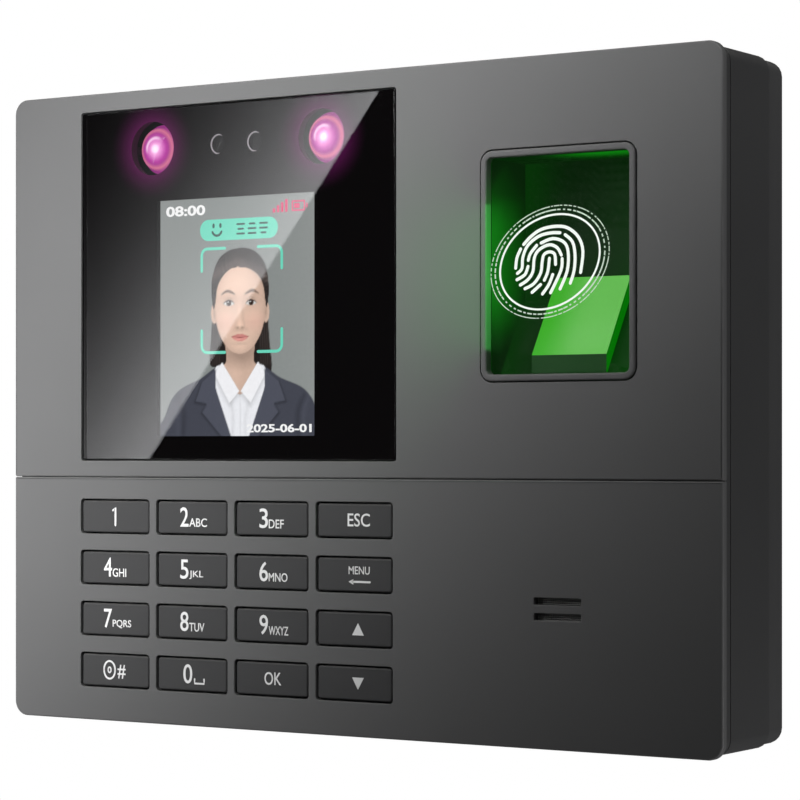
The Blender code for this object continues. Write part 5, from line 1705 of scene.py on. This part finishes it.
@dataclass
class FingerReader:
    """Bezel, lit well, lit prism and the guide mark in front of them."""

    bezel_radius: float = 2.6
    ring: float = 1.4
    bead: float = 0.42
    reach: Point = (12.1, 9.2)
    tilt_deg: float = 21.9
    line: float = 0.40
    dashes: tuple[int, int] = (60, 74)
    film_thickness: float = 0.12
    mark_shift: Point = (-2.2, 0.44)
    ridge: float = 0.66
    green: Colour = (0.012, 1.0, 0.02)

    RIDGES = (
        ((7.3, -2.4), (7.84, 1.86), (6.77, 4.84), (4.2, 6.8), (1.24, 7.2), (-1.96, 6.7), (-4.3, 5.4),
         (-6.1, 3.8)),
        ((-6.8, 2.9), (-7.7, 1.1), (-8.0, -1.0)),
        ((-7.6, -2.1), (-6.5, -1.1), (-6.3, 1.1), (-5.15, 3.5), (-2.6, 5.3), (0.17, 5.9), (2.5, 5.86)),
        ((3.7, 5.4), (5.4, 3.9), (6.0, 1.3), (5.8, -1.9), (4.9, -4.5)),
        ((-1.96, 3.94), (0.8, 4.74), (3.4, 3.9), (4.4, 1.86), (4.2, -1.9), (2.5, -5.6)),
        ((-3.0, 3.5), (-4.5, 1.86), (-5.0, 0.5)),
        ((-5.05, -0.74), (-5.8, -2.4), (-7.7, -3.4)),
        ((2.8, 1.3), (1.87, 2.8), (0.0, 3.5), (-2.4, 2.6), (-3.56, 0.93), (-3.9, -1.86), (-5.15, -3.5),
         (-6.9, -4.5)),
        ((3.0, 0.56), (2.7, -1.86), (0.28, -6.3)),
        ((1.45, -0.56), (1.24, 1.5), (0.0, 2.05), (-1.3, 1.5), (-1.7, 0.0), (-2.07, -2.2), (-3.66, -4.3),
         (-5.8, -5.3)),
        ((0.0, 0.74), (-0.36, -1.9), (-1.2, -3.7)),
        ((0.8, -2.6), (-0.15, -4.65), (-1.64, -6.5)),
        ((-2.07, -4.56), (-4.1, -6.1)),
    )

    def build(self) -> None:
        """Makes the whole reader."""
        self._bezel()
        self._well()
        self._prism()
        self._mark()
        self._rings()

    def _bezel(self) -> None:
        """Rounded bead round the recess."""
        room = Span.of("finger_bezel")
        outer = Outline.rounded(room.middle.xz, room.size.xz, self.bezel_radius, 10)
        size = room.size.xz - Vector((2.0, 2.0)) * self.ring
        inner = Outline.rounded(room.middle.xz, size, self.bezel_radius - self.ring, 10)
        shell = Shell().plate(outer, room.low.y, room.high.y, (inner,), self.bead, self.bead, 6)
        edge = room.low.x + self.ring

        def glow(place: Vector, normal: Vector) -> Colour:
            """Green light on the bead's inner faces, strongest on the left one."""
            if normal.x > 0.5 and abs(place.x - edge) < 0.6:
                high = (place.z - room.low.z) / room.size.z
                band = eased(high, 0.16, 0.5) * (1 - eased(high, 0.6, 0.95))
                return scaled(self.green, 0.11 * band + 0.006)
            return (0.0, 0.0, 0.0)

        bead = painted(shell.piece("finger_bezel_bead", Stock.BEZEL.made), glow, 2.0)
        mounted(bead, TERMINAL, "finger_bezel")

    def _well(self) -> None:
        """Well, with painted light on its walls: green from the prism, and grey where white light falls on
        the faces that look up.
        """
        room = Span.of("finger_well")
        wall = 1.2
        left, bottom = room.low.x + wall, room.low.z + wall
        width, height = room.size.x - 2 * wall, room.size.z - 2 * wall
        front = Span.of("finger_bezel").high.y

        def spill(place: Vector, normal: Vector) -> Colour:
            """Light on the well's inner walls."""
            right = (place.x - left) / width
            high = (place.z - bottom) / height
            deep = place.y - front
            inside = -0.03 < right < 1.03 and -0.03 < high < 1.03
            level = 0.0
            if inside and normal.x > 0.7 and right < 0.1:
                level = 0.15 * bell(deep, 1.0, 8.0) * eased(high, 0.12, 0.42) * (1 - eased(high, 0.66, 0.92))
                level += 0.012
            elif inside and normal.y < -0.7:
                level = 0.010 + 0.030 * eased(right, 0.2, 1.1) * (1.15 - high) + 0.020 * bell(right, 0.0, 0.2)
            elif inside and normal.z < -0.7:
                level = 0.015 + 0.17 * eased(right, 0.25, 0.75) * bell(deep, 2.0, 5.5)
            elif inside and normal.x < -0.7 and right > 0.9:
                level = 0.10 * bell(deep, 4.0, 7.0) * (1 - eased(high, 0.5, 0.9))
            # painted grey light on faces that look up, where white light falls into the well
            elif inside and normal.z > 0.1:
                return scaled((0.55, 0.62, 0.56), 0.09 * eased(right, 0.30, 0.85))
            return scaled(self.green, level)

        obj = traced("finger_well", "finger_well_lit", Stock.WELL.made)
        painted(obj, spill, 1.3)

    def _prism(self) -> None:
        """Prism whose sloping face glows."""
        room = Span.of("finger_prism")
        obj = traced("finger_prism", "finger_prism_lit", Stock.PRISM.made)

        def glow(place: Vector, normal: Vector) -> Colour:
            """Light of the prism's faces."""
            right = (place.x - room.low.x) / room.size.x
            if normal.y < -0.5 and normal.z > 0.2:
                one, two = Vector((0.040, 0.385, 0.012)), Vector((0.130, 0.480, 0.085))
                return tuple(one.lerp(two, eased(right, 0.05, 0.6)))
            if abs(normal.x) > 0.7:
                return (0.0, 0.156 if normal.x > 0 else 0.06, 0.0)
            return (0.0, 0.006, 0.001) if normal.y < -0.7 else (0.0, 0.02, 0.0)

        painted(obj, glow, 2.2)

    def _mark(self) -> None:
        """Clear film in the bezel's mouth and the fingertip sign on it."""
        room = Span.of("finger_bezel")
        depth = room.low.y + 1.1
        size = room.size.xz - Vector((2.0, 2.0)) * (self.ring + 0.05)
        outline = Outline.rounded(room.middle.xz, size, self.bezel_radius - self.ring, 8)
        film = Shell().plate(outline, depth, depth + self.film_thickness)
        mounted(film.piece("finger_guide_film", Stock.FILM.made), TERMINAL, slot="prism_glass")
        middle = room.middle.xz + Vector(self.mark_shift)
        ridges = [
            Outline.stroke(Canvas.rounded(np.array(path), False, 4), self.ridge, 5).moved(middle.x, middle.y)
            for path in self.RIDGES
        ]
        flat = Lettering(depth - 0.01, 0.05)
        mark = flat.piece("finger_guide_mark", (), ridges, Stock.MARK.made)
        mounted(mark, TERMINAL, slot="prism_glass")

    def _rings(self) -> None:
        """Closed ring and two broken rings round the sign."""
        room = Span.of("finger_bezel")
        for index, (grow, dashes) in enumerate(((1.0, 0), (1.10, self.dashes[0]), (1.185, self.dashes[1]))):
            grower = Grower(f"guide_ring_{index}")
            reach_u = grower.size("Reach Along", self.reach[0] * grow)
            reach_v = grower.size("Reach Across", self.reach[1] * grow)
            tilt = grower.size("Tilt", math.radians(self.tilt_deg))
            width = grower.size("Line", self.line * (1.0, 0.72, 0.5)[index])
            count = grower.size("Dashes", dashes or 160, "Int")
            seed = grower.size("Seed", 7 + index, "Int")
            circle = grower.add("GeometryNodeCurvePrimitiveCircle", 96).outputs[0]
            oval = grower.placed(circle, scale=grower.triple(reach_u, reach_v, 1.0))
            oval = grower.placed(oval, turn=grower.triple(0.0, 0.0, tilt))
            if dashes:
                ticks = grower.add("GeometryNodeResampleCurve", oval, Count=count).outputs[0]
                along = grower.add("GeometryNodeInputTangent").outputs[0]
                turn = grower.add(
                    "FunctionNodeAlignRotationToVector", settings={"axis": "X"}, Vector=along
                ).outputs[0]
                long = grower.add("FunctionNodeRandomValue", None, None, 0.35, 1.35, Seed=seed).outputs[1]
                stretch = grower.triple(long, 1.0, 1.0)
                dash = grower.add(
                    "GeometryNodeMeshCube", grower.triple(1.05, width, 0.05)
                ).outputs[0]
                shape = grower.add(
                    "GeometryNodeInstanceOnPoints", ticks, Instance=dash, Rotation=turn, Scale=stretch
                ).outputs[0]
            else:
                profile = grower.add("GeometryNodeCurvePrimitiveQuadrilateral").outputs[0]
                flat = grower.triple(grower.maths("MULTIPLY", width, 0.5), 0.03, 1.0)
                profile = grower.placed(profile, scale=flat)
                ticks = grower.add("GeometryNodeResampleCurve", oval, Count=count).outputs[0]
                shape = grower.add("GeometryNodeCurveToMesh", ticks, profile).outputs[0]
            upright = grower.placed(shape, turn=(math.pi / 2, 0.0, 0.0))
            middle = room.middle.xz + Vector(self.mark_shift)
            whole = grower.placed(upright, move=(middle.x, room.low.y + 1.06, middle.y))
            finish = Stock.MARK.made if index == 0 else Stock.MARK_FAINT.made
            mounted(grower.grown(f"finger_guide_ring_{index}", whole, finish), TERMINAL, slot="prism_glass")


# ---------------------------------------------------------------- rear, sockets and inside


@dataclass
class Fittings:
    """Wall bracket, rear screws, the two sockets and the parts inside the case."""

    head_radius: float = 2.6
    head_height: float = 1.1
    shank_radius: float = 1.2
    cross: Point = (1.15, 0.34)
    cross_depth: float = 0.75

    INSIDE = {
        Stock.BOARD: ("face_board", "finger_board", "keypad_board", "main_board"),
        Stock.FLEX: ("display_ribbon", "keypad_ribbon"),
        Stock.STEEL: ("shield_can", "clock_cell"),
        Stock.WRAP: ("backup_battery",),
        Stock.RUBBER: ("keypad_mat",),
        Stock.FOAM: ("display_gasket",),
        Stock.WHITE: ("lcd_backlight", "finger_lamp_strip"),
        Stock.BLACK: ("speaker", "finger_camera"),
    }

    def build(self) -> None:
        """Makes the outer fittings and finishes the inner ones."""
        traced("wall_bracket", "wall_bracket_sheet", Stock.ZINC.made)
        self._screws()
        traced("usb_port", "usb_port_shell", Stock.STEEL.made)
        traced("power_socket", "power_socket_block", Stock.BLACK.made)
        for stock, nodes in self.INSIDE.items():
            for node in nodes:
                self._refinish(node, stock.made)

    @staticmethod
    def _refinish(node: str, finish: bpy.types.Material) -> None:
        """Gives a CAD node that stays in view its detailed finish."""
        slots = frame["nodes"][node].material_slots
        for slot in slots:
            slot.material = finish
        LOG.info("%s keeps its shape and takes %s", node, finish.name)

    def _screw(self, room: Span) -> bpy.types.Mesh:
        """One screw about the middle of its head, with a cross recess and a rounded rim."""
        shell = Shell()
        top, foot = room.high.y, room.low.y
        rim = [
            (top - 0.35 * (1 - math.cos(a)), self.head_radius - 0.35 * (1 - math.sin(a)))
            for a in [math.pi / 2 * i / 4 for i in range(5)]
        ]
        neck = top - self.head_height
        profile = [*rim, (neck, self.head_radius), (neck, self.shank_radius), (foot, self.shank_radius)]
        loops = [shell.loop(Outline.circle((0, 0), radius, 32), depth) for depth, radius in profile]
        shell.wall(*loops)
        shell.cap(loops[-1])
        long, half = self.cross
        corners = ((long, half), (half, half), (half, long))
        recess = Outline(tuple(
            (u * c - v * s, u * s + v * c) for c, s in ((1, 0), (0, 1), (-1, 0), (0, -1)) for u, v in
            (corners[0], corners[1])
        ))
        mouth = shell.loop(recess, top)
        floor = shell.loop(recess.moved(0, 0, 0.62), top - self.cross_depth)
        shell.wall(mouth, floor)
        shell.cap(loops[0], mouth)
        shell.cap(floor)
        bmesh.ops.recalc_face_normals(shell.bm, faces=shell.bm.faces)
        mesh = bpy.data.meshes.new("rear_screw_pattern")
        shell.bm.to_mesh(mesh)
        shell.bm.free()
        return mesh

    def _screws(self) -> None:
        """Four screws at the corners of the rear cover."""
        nodes = [f"rear_screw_{up}_{side}" for up in ("upper", "lower") for side in ("left", "right")]
        rooms = [Span.of(node) for node in nodes]
        reach = (max(room.middle.x for room in rooms), max(room.middle.z for room in rooms))
        grower = Grower("rear_screw_layout")
        width = grower.size("Width", reach[0] * 2)
        height = grower.size("Height", reach[1] * 2)
        count = grower.size("Per Side", 2, "Int")
        corners = grower.add("GeometryNodeMeshGrid", width, height, count, count).outputs[0]
        upright = grower.placed(corners, turn=(math.pi / 2, 0.0, 0.0))
        screws = grower.add(
            "GeometryNodeInstanceOnPoints", upright, Instance=grower.start.outputs["Geometry"]
        ).outputs[0]
        obj = grower.grown("rear_screws", screws, Stock.STEEL.made, self._screw(rooms[0]))
        mounted(obj, TERMINAL, *nodes)


# ---------------------------------------------------------------- studio


@dataclass(frozen=True)
class Softbox:
    """An area light."""

    name: str
    place: Point3
    aim: Point3
    size: Point
    power: float
    colour: Colour = (1.0, 1.0, 1.0)
    glossy: bool = True
    spread_deg: float = 180.0
    along: Point3 | None = None

    def put(self) -> None:
        """Adds the light to the scene."""
        light = bpy.data.lights.new(self.name, "AREA")
        light.shape = "RECTANGLE"
        light.size, light.size_y = self.size
        light.energy = self.power
        light.color = self.colour
        light.spread = math.radians(self.spread_deg)
        obj = bpy.data.objects.new(self.name, light)
        obj.location = self.place
        away = Vector(self.place) - Vector(self.aim)
        turn = (-away).to_track_quat("-Z", "Y")
        if self.along:
            right, back = Vector(self.along).normalized(), away.normalized()
            turn = Matrix((right, back.cross(right), back)).transposed().to_quaternion()
        obj.rotation_euler = turn.to_euler()
        obj.visible_glossy = self.glossy
        obj.visible_transmission = self.glossy
        obj.visible_camera = False
        bpy.context.scene.collection.objects.link(obj)


@dataclass
class Studio:
    """Camera, floor, backdrop and lights."""

    camera_place: Point3 = (0.34045, -0.5303, -0.00974)
    camera_turn_deg: float = 33.07
    lens: float = 127.1
    shift_up: float = 0.0623
    floor_height: float = -0.25
    floor_size: float = 3.0
    backdrop: float = 1.0
    sky: float = 0.03
    card_rows: int = 20
    card_width: float = 0.17
    card_level: float = 2.6
    card_fall: float = 0.045

    LIGHTS = (
        Softbox("key_light", (-0.0598, -0.111, 0.0598), (0.0630, 0.8738, -0.0630), (0.5, 0.12), 0.69,
                glossy=False, spread_deg=130.0, along=(1.0, 0.0, 1.0)),
        Softbox("fill_light", (0.60, 0.05, -0.30), (0.09, -0.01, -0.02), (0.3, 0.3), 1.6),
        Softbox("floor_glow", (0.20, -0.02, -0.16), (0.09, -0.015, -0.05), (0.08, 0.08), 0.10, glossy=False),
        Softbox("rear_edge", (0.22, 0.03, 0.16), (0.09, -0.004, 0.05), (0.08, 0.08), 0.12, glossy=False),
        Softbox("rim_light", (0.42, -0.40, 0.42), (0.09, -0.02, 0.05), (0.10, 0.10), 0.5),
        Softbox("recess_spill", (0.0355, -0.040, 0.026), (-0.02, -0.030, 0.026), (0.03, 0.03), 0.006,
                (0.1, 1.0, 0.15), glossy=False, spread_deg=150.0),
    )

    def build(self) -> None:
        """Sets the whole studio up."""
        scene = bpy.context.scene
        scene.view_settings.view_transform = "Standard"
        scene.view_settings.look = "None"
        self._camera(scene)
        self._sky(scene)
        self._floor()
        self._card()
        for light in self.LIGHTS:
            light.put()

    def _camera(self, scene: bpy.types.Scene) -> None:
        """Long lens in front and to the right, level with the middle."""
        camera = bpy.data.cameras.new("camera")
        camera.lens = self.lens
        camera.sensor_width = 36.0
        camera.shift_y = self.shift_up
        camera.clip_start = 0.01
        obj = bpy.data.objects.new("camera", camera)
        obj.location = self.camera_place
        obj.rotation_euler = (math.pi / 2, 0.0, math.radians(self.camera_turn_deg))
        scene.collection.objects.link(obj)
        scene.camera = obj

    def _sky(self, scene: bpy.types.Scene) -> None:
        """White behind the object, and dim everywhere else."""
        world = bpy.data.worlds.new("studio")
        scene.world = world
        world.use_nodes = True
        world.node_tree.nodes.clear()
        wiring = Wiring(world.node_tree)
        seen = wiring.add("ShaderNodeLightPath").outputs["Is Camera Ray"]
        level = wiring.between(seen, 0.0, 1.0, self.sky, self.backdrop)
        light = wiring.add("ShaderNodeBackground", (1.0, 1.0, 1.0, 1.0), level).outputs[0]
        wiring.add("ShaderNodeOutputWorld", light)

    def _flat(self, name: str, corners: Sequence[Point3], colours: Sequence[float] = ()) -> bpy.types.Object:
        """Flat stage piece from its corners, in metres."""
        mesh = bpy.data.meshes.new(name)
        mesh.from_pydata(corners, [], [tuple(range(len(corners)))])
        obj = bpy.data.objects.new(name, mesh)
        bpy.context.scene.collection.objects.link(obj)
        return obj

    def _floor(self) -> None:
        """Pale floor well below the terminal."""
        half, height = self.floor_size / 2, self.floor_height
        corners = [(-half, -half, height), (half, -half, height), (half, half, height), (-half, half, height)]
        obj = self._flat("floor", corners)
        paint = bpy.data.materials.new("floor_paint")
        paint.use_nodes = True
        paint.node_tree.nodes.clear()
        wiring = Wiring(paint.node_tree)
        pale = wiring.add("ShaderNodeBsdfDiffuse", (0.8, 0.8, 0.8, 1.0)).outputs[0]
        white = wiring.add("ShaderNodeEmission", (1.0, 1.0, 1.0, 1.0), self.backdrop).outputs[0]
        seen = wiring.add("ShaderNodeLightPath").outputs["Is Camera Ray"]
        mixed = wiring.add("ShaderNodeMixShader", seen, pale, white).outputs[0]
        wiring.add("ShaderNodeOutputMaterial", mixed)
        obj.data.materials.append(paint)

    def _card(self) -> None:
        """Bright card whose reflection lies over the left part of the window."""
        low, high = Vector((-0.5239, -0.631, -0.0147)), Vector((-0.3884, -0.631, 0.1571))
        along = (high - low).normalized()
        across = Vector((-along.z, 0.0, along.x))
        start, end = low - along * 0.35, high + along * 0.35
        mesh = bpy.data.meshes.new("reflection_card")
        verts, levels = [], []
        for row in range(self.card_rows + 1):
            away = self.card_width * row / self.card_rows
            verts += [start + across * away, end + across * away]
            levels += [self.card_level * math.exp(-((away / self.card_fall) ** 1.3))] * 2
        faces = [(2 * r, 2 * r + 1, 2 * r + 3, 2 * r + 2) for r in range(self.card_rows)]
        mesh.from_pydata(verts, [], faces)
        light = mesh.color_attributes.new("light", "FLOAT_COLOR", "POINT")
        for vert, level in enumerate(levels):
            light.data[vert].color = (level, level, level * 1.02, 1.0)
        obj = bpy.data.objects.new("reflection_card", mesh)
        bpy.context.scene.collection.objects.link(obj)
        obj.visible_camera = False
        obj.visible_diffuse = False
        obj.visible_shadow = False
        paint = bpy.data.materials.new("card_light")
        paint.use_nodes = True
        paint.node_tree.nodes.clear()
        wiring = Wiring(paint.node_tree)
        colour = wiring.add("ShaderNodeAttribute", settings={"attribute_name": "light"}).outputs["Color"]
        glow = wiring.add("ShaderNodeEmission", colour, 1.0).outputs[0]
        wiring.add("ShaderNodeOutputMaterial", glow)
        obj.data.materials.append(paint)


# ---------------------------------------------------------------- the whole


def main() -> None:
    """Builds every sub-assembly and the studio."""
    logging.basicConfig(level=logging.INFO, format="%(name)s: %(message)s")
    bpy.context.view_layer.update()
    for part in (FrontCase(), Keypad(), Display(), FaceSensors(), FingerReader(), Fittings(), Studio()):
        LOG.info("%s", type(part).__name__)
        part.build()
    bpy.context.view_layer.update()


if __name__ == "__main__":
    main()
